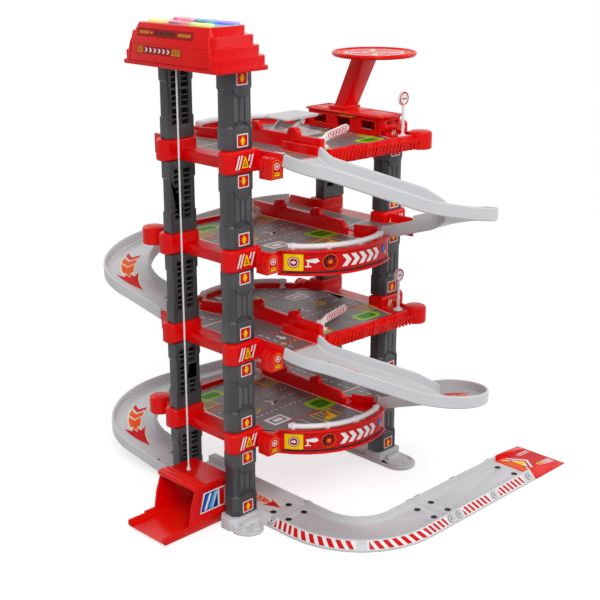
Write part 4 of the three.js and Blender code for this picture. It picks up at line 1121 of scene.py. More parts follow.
def deck_caps():
    """Rounded caps of one deck, in the deck's own millimetres."""
    shell = hub_shell("hub_shell")
    parts = [
        copy_of(shell, "front_hub_shell", Matrix.Translation((*FRONT_HUB, 0))),
        copy_of(shell, "back_hub_shell", Matrix.Translation((*BACK_HUB, 0))),
    ]
    discard(shell)
    foot = -DECK_SKIRT
    profile = [
        (0, foot - 0.1), (11.4, foot - 0.1), (12.2, foot + 0.7), (12.2, 4.6), (11.7, 6.0), (10.4, 6.9),
        (8.6, 7.2), (8.2, 6.6), (7.6, 6.6), (7.2, 7.3), (4.0, 7.8), (0, 7.9),
    ]
    knob = lathed("corner_knob", profile, red_plastic(), 56)
    settle(knob, Matrix.Translation((-COLUMN_X + DECK_WALL, LANE_END + DECK_WALL, 0)))
    parts.append(knob)
    half = CENTRE_WALL_THICKNESS / 2 + 0.12
    crown = arc(0, 0, CENTRE_WALL_BUMP + 0.15, 0, 180, 28) + [(-7.1, -2.0), (7.1, -2.0)]
    for share in (0.9, -0.35):
        bump = flat("wall_bump", [crown], -half, half, red_plastic())
        soften(bump, 0.5, 3, 40)
        settle(bump, upright(CENTRE_WALL_X, COLUMN_Y * share, CENTRE_WALL_HEIGHT, 180))
        parts.append(bump)
    parts.append(slanted_ribs())
    cap = joined("deck_caps", parts)
    smooth(cap)
    return cap


class GARAGE_OT_decks(GarageOperator, bpy.types.Operator):
    """The four decks, with rounded edges and smooth caps on their hubs, knobs and walls"""

    bl_idname = "garage.decks"
    bl_label = "Decks"

    def build(self):
        caps = deck_caps()
        for level in LEVELS:
            node = "deck_" + str(level)
            moulded(node, "garage", "red_plastic")
            finished(copy_of(caps, node + "_caps", level_frame(level)), "garage", "red_plastic")
        discard(caps)


def banner_label(name):
    """The printed band of the half-round front, drawn flat with its start at zero."""
    low = BANNER_LOW + 5.2
    high = BANNER_HIGH - 3.0
    middle = (low + high) / 2
    tall = (high - low) / 2
    whole = math.radians(BANNER_END - BANNER_START) * BANNER_RADIUS
    end = whole - 14.0
    first = 6.0
    badge = first + tall + 1.0
    wheel = 51.0
    beam = [(27.0, 2.5), (38.0, 4.2), (40.5, 1.2), (36.5, -0.8), (28.5, 0.6)]
    camera = [
        moved(beam, 0, middle),
        rectangle(28.6, 30.2, middle - 3.8, middle + 0.4),
        rectangle(26.4, 32.4, middle - 4.6, middle - 3.6),
    ]
    spokes = [moved(rectangle(2.2, 5.2, -0.65, 0.65), wheel, middle, 45 * i) for i in range(8)]
    chevron = [(0, -6.0), (5.5, -6.0), (10.5, 0), (5.5, 6.0), (0, 6.0), (5.0, 0)]
    chevrons = [moved(chevron, 63.0 + 9.6 * i, middle) for i in range(5)]
    pointer = moved(arrow(5.4, 4.6, 0.4, 0.55), badge - 2.7, middle)
    tag = [rectangle(first, first + 2 * tall + 2, low, high), circle(end + 2.5, middle - 2.4, 2.6, 18)]
    layers = [
        ("red", [rectangle(first, whole - 5.0, low, high)]),
        ("yellow", tag),
        ("deep_red", [circle(badge, middle, 5.8)]),
        ("white", ring(badge, middle, 4.9, 4.1) + [pointer] + camera + chevrons),
        ("black", ring(wheel, middle, 7.0, 5.0) + spokes),
        ("orange", [circle(wheel, middle, 2.3, 16)] + ring(wheel, middle, 7.6, 7.1)),
        ("blue", [circle(end - 1.5, middle + 1.2, 4.2, 20)]),
        ("sky", [moved(rectangle(-2.6, 2.6, -0.8, 0.8), end - 1.5, middle + 1.6, 35)]),
    ]
    return printed(name, layers, 0.06), whole


class GARAGE_OT_banners(GarageOperator, bpy.types.Operator):
    """The printed band, the black line of painted shade in its groove, and the hub labels of each
    half-round front
    """

    bl_idname = "garage.banners"
    bl_label = "Banners"

    def build(self):
        face = BANNER_RADIUS + BANNER_WALL / 2
        label, whole = banner_label("banner_label")
        slice_along(label, 0, 0.0, whole, 4.0)

        def round_front(s, t, out):
            angle = math.radians(BANNER_START) + s / BANNER_RADIUS
            radius = face + 0.05 + out
            return Vector((BANNER_X + radius * math.cos(angle), BANNER_Y + radius * math.sin(angle), t))

        bend_to(label, round_front)
        ends = (BANNER_START + 2.5, BANNER_END - 2.5)
        line = [(x, y, 0) for x, y in arc(BANNER_X, BANNER_Y, face, *ends, 44)]
        low = BANNER_LOW + 2.6
        section = soft_rectangle(-0.5, 0.35, low, low + 1.9, 0.3, 3)
        # The groove is a black strip: painted shade.
        groove = swept("banner_groove", line, section, black_plastic())
        hub = hub_label("hub_label")
        front = upright(FRONT_HUB[0], FRONT_HUB[1] - HUB_DEPTH / 2 - 0.05, -1.0, -90)
        back = upright(BACK_HUB[0], BACK_HUB[1] + HUB_DEPTH / 2 + 0.05, -1.0, 90)
        bands = (
            (label, "banner_print_", "white_plastic", Matrix.Identity(4)),
            (groove, "banner_groove_", "dark_plastic", Matrix.Identity(4)),
        )
        hubs = (
            (hub, "front_hub_label_", "white_plastic", front),
            (hub, "back_hub_label_", "white_plastic", back),
        )
        for group, level in itertools.product((bands, hubs), LEVELS):
            for pattern, name, slot, place in group:
                finished(copy_of(pattern, name + str(level), level_frame(level) @ place), "garage", slot)
        discard(label, groove, hub)


def bay_marks(x0, x1, y0, y1):
    """Three upright lines in a bay, each cut where a slanted line crosses it."""
    marks = [stroke(x0 + 1.5, y0 + 1.5, x1 - 1.5, y1 - 1.5, 0.8)]
    for share in (0.25, 0.5, 0.75):
        x = x0 + (x1 - x0) * share
        y = y0 + (y1 - y0) * share
        marks.append(rectangle(x - 0.4, x + 0.4, y0 + 1, y - 0.6))
        marks.append(rectangle(x - 0.4, x + 0.4, y + 0.6, y1 - 1))
    return marks


def road_layers():
    """Printed roads, bays and bushes of one deck, drawn from above."""
    bay_left = -91.0
    wall_left = CENTRE_WALL_X - 3.2
    rear = 80.0
    front_arc = arc(BANNER_X, BANNER_Y, BANNER_RADIUS - 7.5, 214, 286, 30)
    exit_x = LANE_EXIT_X
    entry = LANE_ENTRY_X
    lane_left = exit_x - LANE_WIDTH / 2 + 1.0
    lane_right = exit_x + LANE_WIDTH / 2 - 1.0
    ground = [
        front_arc + [(wall_left, -34.0), (bay_left + 6, -34.0)],
        rectangle(bay_left, wall_left, -33.9, 33.9),
        [(bay_left + 4, 34.0), (wall_left, 34.0), (wall_left, rear), (bay_left + 12, rear)],
        rectangle(lane_left - 12, 89.0, -33.9, 33.9),
        rectangle(lane_left, lane_right - 1.0, 34.0, LANE_END - 2.0),
        [(entry - 21, -84.0), (entry + 21, -84.0), (entry + 21, -61.0), (89.0, -36.0), (48.0, -36.0)],
    ]
    white = [
        rectangle(wall_left - 1.6, wall_left, -96.0, rear), rectangle(bay_left, bay_left + 1.4, -32, 32),
    ]
    for y in (-17.0, 19.0):
        white += dashes(-84, y, wall_left - 3, y, 1.5, 2.6, 4.4)
    white += dashes(-22, 2, wall_left - 3, 2, 1.2, 8, 5)
    white += dashes(-90, 2, -60, 2, 1.2, 8, 5)
    white += [[(-29, -5.6), (-25.5, -5.6), (-19.5, 2), (-25.5, 9.6), (-29, 9.6), (-23.4, 2)]]
    white += frame_outline(-63.5, -39.5, -46.5, -28.5, 3.0) + [rectangle(-57.5, -45.5, -40.5, -34.5)]
    white += dashes(entry - 4, -82, exit_x, -34, 1.2, 6, 5)
    white += dashes(exit_x, -30, exit_x, 82, 1.2, 6, 5)
    white += [moved(arrow(14, 9, 0.3, 0.45), exit_x - 11, 40, 90)]
    white += dashes(-46, -53.5, -46, -90, 1.1, 5, 4) + [stroke(-34, -53, -34, -80, 0.7)]
    arch = arc(15, -96, 6.5, 90, 260, 12) + [(16, -100), (16, -92)]
    white.append(arch[::-1])
    bushes = [(11.5, -38.5, 26, 23), (-58, 62, 28, 15)]
    lime = []
    green = []
    leaf = []
    for x, y, w, h in bushes:
        lime.append(soft_rectangle(x - w / 2 - 2.2, x + w / 2 + 2.2, y - h / 2 - 2.2, y + h / 2 + 2.2, 6.5))
        green.append(bush(x, y, w, h, 11, 0.14))
        for dx, dy in itertools.product((-0.24, 0.02, 0.26), (-0.22, 0.22)):
            leaf += ring(x + dx * w, y + dy * h, 2.4, 1.5, 12)
    yellow = ring(-53, -3, 6.4, 4.9, 24) + [stroke(-56, -3, -50, -3, 1.2), stroke(-53, -6, -53, 0, 1.2)]
    bays = ((-20.5, 8.0, -76.0, -54.0), (3.0, 22.5, 36.0, 70.0), (-88.0, -66.0, 36.0, 52.0))
    for bay in bays:
        yellow += frame_outline(*bay, 1.0)
    for x0, x1, y0, y1 in bays[1:]:
        yellow += slanted_bars(x0 + 1.5, x1 - 1.5, y0 + 1.5, y1 - 1.5, 7, 3.0, 0.16)
    yellow += bay_marks(*bays[0])
    orange = [moved(rectangle(-3.4, 3.4, -0.8, 0.8), -6.2, -65, turn) for turn in (0, 60, 120)]
    orange += slanted_bars(-86, -46, 24.5, 31.5, 9, 6, 0.3) + slanted_bars(46, 86, 60, 66, 7, 4, 0.4)
    red = frame_outline(lane_left + 0.6, lane_right - 1.6, 34.6, LANE_END - 2.6, 1.1)
    red += [stroke(-50, -50, 24, -51, 1.8), stroke(-88, 33.4, 1, 33.4, 1.4), stroke(1.6, 34, 1.6, 74, 2.2)]
    for y in (-9.5, 11.5):
        red += dashes(-80, y, wall_left - 3, y, 1.4, 2.2, 4.0)
    return [
        ("cream", [grown(outline, 1.2) for outline in ground]),
        ("asphalt", ground), ("red", red), ("white", white), ("lime", lime), ("green", green),
        ("forest", leaf), ("yellow", yellow), ("orange", orange),
    ]


class GARAGE_OT_road_prints(GarageOperator, bpy.types.Operator):
    """Printed roads on the decks"""

    bl_idname = "garage.road_prints"
    bl_label = "Road prints"

    def build(self):
        pattern = printed("road_print", road_layers(), 0.035)
        for level in LEVELS:
            piece = copy_of(pattern, "road_print_" + str(level), level_frame(level))
            finished(piece, "garage", "white_plastic")
        discard(pattern)


# Ramps


def ramp_stations(z_top, z_bottom, step):
    """The ramp's middle line: x, y, z, heading and run, at small steps."""
    lead = math.radians(RAMP_LEAD_TURN)
    leg = math.radians(-90) + lead
    leave_heading = math.radians(RAMP_EXIT_HEADING)
    start = (-LANE_EXIT_X, -LANE_END - FIT)
    end = (LANE_ENTRY_X, -LANE_END - FIT)
    lead_shift = (RAMP_LEAD_RADIUS * (1 - math.cos(lead)), -RAMP_LEAD_RADIUS * math.sin(lead))
    loop_shift = (
        RAMP_LOOP_RADIUS * (math.sin(leave_heading) - math.sin(leg)),
        RAMP_LOOP_RADIUS * (math.cos(leg) - math.cos(leave_heading)),
    )
    gap_x = end[0] - start[0] - lead_shift[0] - loop_shift[0]
    gap_y = end[1] - start[1] - lead_shift[1] - loop_shift[1]
    cross = math.cos(leg) * math.sin(leave_heading) - math.sin(leg) * math.cos(leave_heading)
    leg_length = (gap_x * math.sin(leave_heading) - gap_y * math.cos(leave_heading)) / cross
    back_length = (gap_y * math.cos(leg) - gap_x * math.sin(leg)) / cross
    stations = [(start[0], start[1], math.radians(-90), 0.0)]

    def straight(length):
        x, y, heading, run = stations[-1]
        count = max(1, math.ceil(length / step))
        for i in range(1, count + 1):
            go = length * i / count
            stations.append((x + go * math.cos(heading), y + go * math.sin(heading), heading, run + go))

    def bend(radius, to):
        x, y, heading, run = stations[-1]
        count = max(1, math.ceil(abs(to - heading) * radius / step))
        for i in range(1, count + 1):
            h = heading + (to - heading) * i / count
            stations.append((
                x + radius * (math.sin(h) - math.sin(heading)),
                y + radius * (math.cos(heading) - math.cos(h)), h, run + radius * (h - heading),
            ))

    bend(RAMP_LEAD_RADIUS, leg)
    straight(leg_length)
    bend(RAMP_LOOP_RADIUS, leave_heading)
    straight(back_length)
    total = stations[-1][3]
    return [(x, y, z_top + (z_bottom - z_top) * run / total, h, run) for x, y, h, run in stations]


def station_at(stations, run):
    """The x, y, z and heading at a distance along a line."""
    for first, second in zip(stations, stations[1:]):
        if run <= second[4]:
            break
    share = (run - first[4]) / (second[4] - first[4])
    return [start + (end - start) * share for start, end in zip(first[:4], second[:4])]


def along(stations, run, side, rise):
    """The place at a distance along a line, a distance to its left and a height over it."""
    x, y, z, heading = station_at(stations, run)
    return Vector((x - side * math.sin(heading), y + side * math.cos(heading), z + rise))


def ramp_section():
    """The channel's section, with rounded tops on its walls."""
    w = LANE_WIDTH / 2
    outer = w + RAMP_WALL - 0.4
    top = RAMP_WALL_HEIGHT
    r = RAMP_WALL / 2 - 0.2
    right_top = arc(w + r, top - r, r, 0, 180, 8)
    left_top = arc(-w - r, top - r, r, 0, 180, 8)
    low = 1.2
    return (
        [(-outer + low, -RAMP_FLOOR), (outer - low, -RAMP_FLOOR), (outer, -RAMP_FLOOR + low)]
        + right_top + [(w, 1.0), (w - 1.0, 0.0), (-w + 1.0, 0.0), (-w, 1.0)] + left_top
        + [(-outer, -RAMP_FLOOR + low)]
    )


def square_end(piece, y):
    """Cuts a swept piece off square at the deck's edge."""
    edit(piece)
    bpy.ops.mesh.bisect(plane_co=(0, y, 0), plane_no=(0, 1, 0), use_fill=True, clear_outer=True)
    leave()


class GARAGE_OT_ramps(GarageOperator, bpy.types.Operator):
    """Looped ramps with rounded walls, floor arrows and drain holes"""

    bl_idname = "garage.ramps"
    bl_label = "Ramps"

    def build(self):
        step = sizes().path_step / MM
        for level in reversed(LEVELS):
            z_low = LEVEL_HEIGHT * (level - 1) if level > 1 else TRACK_FLOOR
            stations = ramp_stations(LEVEL_HEIGHT * level, z_low, step)
            x, y, z, heading = stations[-1][:4]
            line = [s[:3] for s in stations]
            line.append((x + 8 * math.cos(heading), y + 8 * math.sin(heading), z))
            name = "ramp_" + str(level)
            place = ramp_frame(level)
            piece = swept(name + "_smooth", line, ramp_section(), grey_plastic())
            square_end(piece, -LANE_END - FIT)
            put(piece, place, "garage", "grey_plastic", 40)
            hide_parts(name)
            put(floor_arrows(name + "_arrows", stations), place, "garage", "white_plastic")
            put(drain_holes(name + "_holes", stations), place, "garage", "dark_plastic")


def arrow_outlines(scale=1.0):
    """Head, shaft and two chevron fins of an arrow, its tip at the far end."""
    parts = (
        [(44, -4.4), (38, -12.5), (72, 0.5), (38, 12.5), (45, 5.0), (39, 3.2), (46, 0.4), (39, -3.0)],
        [(20, -7.6), (36, -5.6), (37, -2.6), (44, 0.4), (37, 3.2), (36, 6.4), (20, 7.6), (26.5, 0.3)],
        [(9.4, -8.2), (17.4, -7.9), (23.6, 0.3), (17.4, 7.9), (9.4, 8.2), (15.6, 0.3)],
        [(0, -8.6), (5.2, -8.6), (12.6, 0.2), (5.2, 8.6), (0, 8.6), (6.6, 0.2)],
    )
    return [[(x * scale, y * scale) for x, y in outline] for outline in parts]


def grown(outline, width):
    """An outline moved outward by about one width, from its middle."""
    x = sum(p[0] for p in outline) / len(outline)
    y = sum(p[1] for p in outline) / len(outline)
    made = []
    for px, py in outline:
        away = max(math.hypot(px - x, py - y), 0.5)
        share = (away + width) / away
        made.append((x + (px - x) * share, y + (py - y) * share))
    return made


def arrow_layers(pairs):
    """Layers of ink for arrows, each given as where its tail starts and how large it is."""
    arrows = [
        [moved(outline, start, 0) for outline in arrow_outlines(scale)] for start, scale in pairs
    ]
    return [
        ("cream", [grown(outline, 1.9) for parts in arrows for outline in parts]),
        ("red", [parts[0] for parts in arrows] + [parts[3] for parts in arrows]),
        ("flame", [outline for parts in arrows for outline in parts[1:3]]),
    ]


def floor_arrows(name, stations):
    """Orange-red arrows with a pale edge, laid along the ramp's floor."""
    total = stations[-1][4]
    piece = printed(name, arrow_layers(((total * 0.585, 1.0), (total * 0.15, 0.3))), 0.08)
    slice_along(piece, 0, 0.0, total, 4.0)
    bend_to(piece, lambda s, t, out: along(stations, min(max(s, 0), total), t, out + 0.3))
    return piece


def drain_holes(name, stations):
    """Small eyelets near both ends of a ramp's floor, whose holes are black discs of painted shade."""
    total = stations[-1][4]
    eyes = []
    for run, side in ((0.10 * total, 0.0), (0.90 * total, -12.0), (0.90 * total, 12.0)):
        eye = eyelet(name)
        settle(eye, Matrix.Translation(along(stations, run, side, 0.0)))
        eyes.append(eye)
    return joined(name, eyes)


# Ground track and feet


def track_stations(which):
    """The middle line of the curve or the straight: x, y, z, heading and run."""
    x = -LANE_EXIT_X
    r = TRACK_CURVE_RADIUS
    y = TRACK_CURVE_Y - r
    if which == "curve":
        points = [(x, TRACK_SEAM_Y - FIT, math.radians(-90))]
        count = 40
        for i in range(count + 1):
            a = math.pi / 2 * i / count
            points.append((x + r * (1 - math.cos(a)), TRACK_CURVE_Y - r * math.sin(a), a - math.pi / 2))
        points.append((TRACK_SEAM_X, y, 0.0))
    else:
        points = [(TRACK_SEAM_X + FIT, y, 0.0), (TRACK_SEAM_X + TRACK_STRAIGHT, y, 0.0)]
    run = 0.0
    stations = []
    for index, (px, py, heading) in enumerate(points):
        if index:
            run += math.hypot(px - points[index - 1][0], py - points[index - 1][1])
        stations.append((px, py, 0.0, heading, run))
    return stations


def shoulder_rise(side, thickness):
    """Height of the track's sloped shoulder at a distance from its middle."""
    rim = TRACK_LANE / 2 + TRACK_FLOOR / 2
    toe = TRACK_LANE / 2 + TRACK_SHOULDER
    share = (abs(side) - rim) / (toe - rim)
    return TRACK_EDGE + (TRACK_TOE - TRACK_EDGE) * share + thickness


def hazard_strip(name, stations, side, low, high, count):
    """White foil with slanted red bars, laid along one shoulder of the track."""
    t0 = 25.1
    t1 = 32.0
    bars = slanted_bars(low + 1.5, high - 1.5, t0 + 0.4, t1 - 0.4, count, 4.0, 0.55)
    foil = soft_rectangle(low, high, t0, t1, 0.8, 3)
    piece = printed(name, [("white", [foil]), ("red", bars)], 0.08, 0.05)
    slice_along(piece, 0, low, high, 5.0)
    slice_along(piece, 1, t0, t1, 3.1)
    total = stations[-1][4]
    bend_to(
        piece,
        lambda s, t, out: along(stations, min(max(s, 0), total), side * t, shoulder_rise(t, out)),
    )
    tidy_mesh(piece, WELD / 2)
    return piece


def track_holes():
    """Eyelets in the connector sockets at each seam, as one piece; their holes are black discs of painted
    shade.
    """
    inset = TRACK_LANE / 4
    x = -LANE_EXIT_X
    y = TRACK_CURVE_Y - TRACK_CURVE_RADIUS
    far = TRACK_SEAM_X + TRACK_STRAIGHT
    places = [(x + dx, TRACK_SEAM_Y + dy) for dx in (-inset, inset) for dy in (-inset - FIT, inset)]
    places += [(TRACK_SEAM_X + dx, y + dy) for dx in (-inset, inset + FIT) for dy in (-inset, inset)]
    places += [(far + dx, y + dy) for dx in (-inset, inset) for dy in (-inset, inset)]
    eyes = []
    for px, py in places:
        level = TRACK_FLOOR if px < far else TRACK_FLOOR - 0.1
        profile = [(0, 0.05), (2.4, 0.06), (2.9, 0.14), (3.5, 0.1), (3.6, -0.1)]
        eye = lathed("track_hole", profile, black_plastic(), 28)
        settle(eye, Matrix.Translation((px, py, level)))
        eyes.append(eye)
    return joined("track_holes", eyes)


def shoulder_boss(stations, run, side):
    """A round boss with a slot and a groove round it, both flat dark plates of painted shade, set square on
    the track's sloped shoulder.
    """
    profile = [
        (0, 0.4), (2.3, 0.4), (2.5, 1.1), (3.2, 1.2), (3.5, 0.7), (3.7, 0.2), (4.0, 0.2), (4.2, -0.6),
    ]
    collar = lathed("shoulder_boss", profile, grey_plastic(), 32)
    # The slot and the groove are dark plates: painted shade where the real ones are sunk.
    slot = flat("boss_slot", [soft_rectangle(-1.6, 1.6, -0.7, 0.7, 0.5, 3)], 0.3, 0.55, dark_plastic())
    groove = flat("boss_groove", ring(0, 0, 4.1, 3.5, 28), 0.0, 0.32, dark_plastic())
    boss = joined("shoulder_boss", [collar, slot, groove])
    reach = 28.4
    place = along(stations, run, side * reach, shoulder_rise(reach, 0.0))
    heading = math.degrees(station_at(stations, run)[3]) + 90 * side
    tilt = Matrix.Rotation(math.radians(heading), 4, "Z") @ Matrix.Rotation(math.radians(45), 4, "Y")
    settle(boss, Matrix.Translation(place) @ tilt)
    return boss


def run_out_print(name):
    """Chevrons, a yellow triangle and hazard bars on the red run-out, drawn flat along +X."""
    chevron = [(6, -19), (8.6, -19), (24, 0), (8.6, 19), (6, 19), (20.4, 0)]
    pale = [[(x + 7 * i, y) for x, y in chevron] for i in range(2)]
    triangle = [(13.0, -9.0), (23.5, 0.0), (13.0, 9.0)]
    bars = [rectangle(30 + 4.2 * i, 32.2 + 4.2 * i, -21.0, -11.5) for i in range(6)]
    lines = [rectangle(33.0, 54.0, y, y + 1.2) for y in (13.0, 16.4)]
    layers = [
        ("flame", [soft_rectangle(1.5, 12.0, -21.5, 21.5, 1.0)]),
        ("red", [soft_rectangle(12.6, 56.5, -21.5, 21.5, 1.0)]),
        ("white", pale + bars[2:] + lines),
        ("yellow", [triangle, circle(6.0, -19.0, 2.2, 20)] + bars[:2]),
    ]
    return printed(name, layers, 0.05)


class GARAGE_OT_ground_track(GarageOperator, bpy.types.Operator):
    """The ground lane, the curve, the straight and the red run-out, with hazard strips"""

    bl_idname = "garage.ground_track"
    bl_label = "Ground track"

    def build(self):
        for node in ("ground_lane", "track_curve", "track_straight"):
            moulded(node, "garage", "grey_plastic")
        moulded("track_end", "garage", "red_plastic")
        curve = track_stations("curve")
        straight = track_stations("straight")
        total = curve[-1][4]
        strips = [
            ("curve", curve, -1, 8.0, total * 0.46, 11),
            ("curve", curve, -1, total * 0.50, total - 10.0, 12),
            ("curve", curve, 1, total * 0.20, total * 0.46, 6),
            ("curve", curve, 1, total * 0.54, total * 0.80, 6),
        ]
        for side in (-1, 1):
            strips.append(("straight", straight, side, 14.0, 62.0, 7))
            strips.append(("straight", straight, side, 76.0, 124.0, 7))
        for index, (which, *values) in enumerate(strips):
            piece = hazard_strip(which + "_hazard_" + str(index + 1), *values)
            put(piece, TOWER_FRAME, "garage", "white_plastic")
        put(track_holes(), TOWER_FRAME, "garage", "dark_plastic", 35)
        bosses = [shoulder_boss(curve, run, side) for side in (-1, 1) for run in (3.9, total - 5.0)]
        bosses += [shoulder_boss(straight, run, side) for side in (-1, 1) for run in (8.0, 69.0, 133.0)]
        put(joined("track_bosses", bosses), TOWER_FRAME, "garage", "grey_plastic", 35)
        self.add_run_out()
        self.add_lane_arrow()

    def add_run_out(self):
        label = run_out_print("run_out_print")
        slice_along(label, 0, 0.0, TRACK_RAMP, 3.0)
        start = TRACK_SEAM_X + TRACK_STRAIGHT + FIT
        y = TRACK_CURVE_Y - TRACK_CURVE_RADIUS

        def on_slope(u, v, out):
            share = max(0.0, (u - TRACK_SHOULDER) / (TRACK_RAMP - TRACK_SHOULDER))
            level = TRACK_FLOOR + (TRACK_TOE / 2 - TRACK_FLOOR) * share
            return Vector((start + u, y + v, level + out + FLOAT))

        bend_to(label, on_slope)
        put(label, TOWER_FRAME, "garage", "white_plastic")

    def add_lane_arrow(self):
        arrows = printed("lane_arrow", arrow_layers(((0.0, 0.62),)), 0.08)
        place = Matrix.Translation((-LANE_EXIT_X, -12.0, TRACK_FLOOR + FLOAT))
        put(arrows, TOWER_FRAME @ place @ Matrix.Rotation(-math.pi / 2, 4, "Z"), "garage", "white_plastic")


class GARAGE_OT_feet(GarageOperator, bpy.types.Operator):
    """The feet under the four columns"""

    bl_idname = "garage.feet"
    bl_label = "Feet"

    def build(self):
        for node in ("front_foot", "rear_foot", "base_bar"):
            moulded(node, "garage", "grey_plastic", 0.0008, 3)
        self.add_toe_details()
        self.add_foot_pads()

    def add_toe_details(self):
        """Raised half rings on the rounded ends of the long base."""
        straight = BASE_LENGTH / 2 - BASE_WIDTH / 2
        outer = BASE_WIDTH / 2 - 3.2
        loops = []
        for side, start in ((-1, 180), (1, 0)):
            rim = arc(COLUMN_X, side * straight, outer, start, start + 180, 24)
            inner = arc(COLUMN_X, side * straight, outer - 1.6, start, start + 180, 24)
            loops.append(rim + inner[::-1])
            loops.append(circle(COLUMN_X, side * (straight + 8.0), 2.6, 20))
        toes = flat("base_toe_rims", loops, BASE_PLATE - 0.4, BASE_PLATE + 0.7, grey_plastic())
        soften(toes, 0.3)
        put(toes, TOWER_FRAME, "garage", "grey_plastic", 35)

    def add_foot_pads(self):
        """A rolled pad and a ring beside the lift columns, on the half-round flanges."""
        for side, word in ((-1, "front"), (1, "rear")):
            y = side * (COLUMN_Y + POST_DEPTH / 2 + COLLAR_PROUD_Y)
            line = [(x, y + side * 3.2, 5.6) for x in (-123.0, -122.0, -104.0, -103.0)]
            roll = swept("pad_roll", line, circle(0, 0, 4.0, 20), grey_plastic())
            soften(roll, 1.4, 4, 60)
            profile = [(2.2, 4.0), (2.4, 5.4), (3.4, 5.8), (4.4, 5.4), (4.8, 4.0)]
            eye = lathed("pad_ring", profile, grey_plastic(), 28)
            settle(eye, Matrix.Translation((-113.0, y + side * 12.5, 0)))
            put(joined(word + "_foot_pad", [roll, eye]), TOWER_FRAME, "garage", "grey_plastic", 40)


# Rails, barriers and signs


class GARAGE_OT_guard_rails(GarageOperator, bpy.types.Operator):
    """White tube rails round the half-round fronts"""

    bl_idname = "garage.guard_rails"
    bl_label = "Guard rails"

    def build(self):
        start = BANNER_START + 6
        end = BANNER_END - 5
        line = [(x, y, RAIL_HEIGHT) for x, y in arc(BANNER_X, BANNER_Y, RAIL_RADIUS, start, end, 60)]
        parts = [swept("rail_tube", line, circle(0, 0, RAIL_TUBE, 16), white_plastic())]
        z = RAIL_HEIGHT
        profile = [
            (0, 0.3), (3.6, 0.3), (3.6, 1.0), (3.0, 1.6), (2.3, 2.4), (2.3, z - 3.4), (3.2, z - 2.4),
            (3.4, z + 1.4), (2.6, z + 2.9), (0, z + 3.3),
        ]
        for share in RAIL_SHARES:
            angle = math.radians(start + (end - start) * share)
            x = BANNER_X + RAIL_RADIUS * math.cos(angle)
            y = BANNER_Y + RAIL_RADIUS * math.sin(angle)
            post = lathed("rail_post", profile, white_plastic(), 20)
            settle(post, Matrix.Translation((x, y, 0)))
            parts.append(post)
        rail = joined("rail_pattern", parts)
        smooth(rail, 40)
        for level in LEVELS:
            node = "guard_rail_" + str(level)
            finished(copy_of(rail, node + "_tube", level_frame(level)), "garage", "white_plastic", node)
        discard(rail)


def arm_frame(level):
    """The frame of a barrier arm, with its pivot at zero."""
    stand = Matrix.Translation((BARRIER_X, BARRIER_Y, BARRIER_PIVOT))
    turn = Matrix.Rotation(math.pi, 4, "Z") @ Matrix.Rotation(math.radians(-BARRIER_REST), 4, "Y")
    return level_frame(level) @ stand @ turn


def arm_label(name, way):
    """A white panel with a red edge and slanted red bars, for one face of a barrier arm."""
    x0, x1, y0, y1 = 9.4, 38.6, -1.7, 4.7
    panel = soft_rectangle(x0, x1, y0, y1, 2.4)
    field = soft_rectangle(x0 + 0.8, x1 - 0.8, y0 + 0.8, y1 - 0.8, 1.7)
    bars = slanted_bars(x0 + 2.6, x1 - 2.2, y0 + 1.5, y1 - 1.5, 6, 2.6, 0.52)
    layers = (("red", [panel]), ("white", [field]), ("red", bars))
    return printed(name, [(shade_name, mirrored(loops, way)) for shade_name, loops in layers], 0.06)


class GARAGE_OT_barriers(GarageOperator, bpy.types.Operator):
    """Barrier stands and the swinging arms with red bars"""

    bl_idname = "garage.barriers"
    bl_label = "Barriers"

    def build(self):
        half = BARRIER_ARM_DEPTH / 2 + FLOAT
        front = arm_label("arm_label_front", 1)
        back = arm_label("arm_label_back", -1)
        profile = [(0, 0), (1.7, 0), (1.7, 0.35), (1.1, 0.7), (0, 0.7)]
        cap = lathed("pivot_cap", profile, white_plastic(), 20)
        reach = BARRIER_ARM_DEPTH / 2 + FIT + BARRIER_EAR - 0.02
        for level in LEVELS:
            stand = "barrier_post_" + str(level)
            arm = "barrier_arm_" + str(level)
            body = "barrier_" + str(level)
            moulded(stand, "garage", "white_plastic", 0.0003)
            moulded(arm, body, "white_plastic", 0.0003)
            for pattern, word, side in ((front, "_label_front", -1), (back, "_label_back", 1)):
                place = arm_frame(level) @ upright(0, side * half, 0, 90 * side)
                finished(copy_of(pattern, arm + word, place), body, "white_plastic")
            for side, word in ((-1, "_cap_front"), (1, "_cap_back")):
                spot = upright(BARRIER_X, BARRIER_Y + side * reach, BARRIER_PIVOT, 90 * side)
                finished(copy_of(cap, stand + word, level_frame(level) @ spot), "garage", "white_plastic")
        discard(front, back, cap)


def sign_face(name):
    """A red ring round a white field with a short dark bar."""
    bar = [rectangle(-3.4 + 1.85 * i, -2.1 + 1.85 * i, -0.7, 0.7) for i in range(4)]
    layers = [("white", [circle(0, 0, 7.2, 40)]), ("red", ring(0, 0, 6.9, 5.3, 40)), ("black", bar)]
    return printed(name, layers, 0.06)


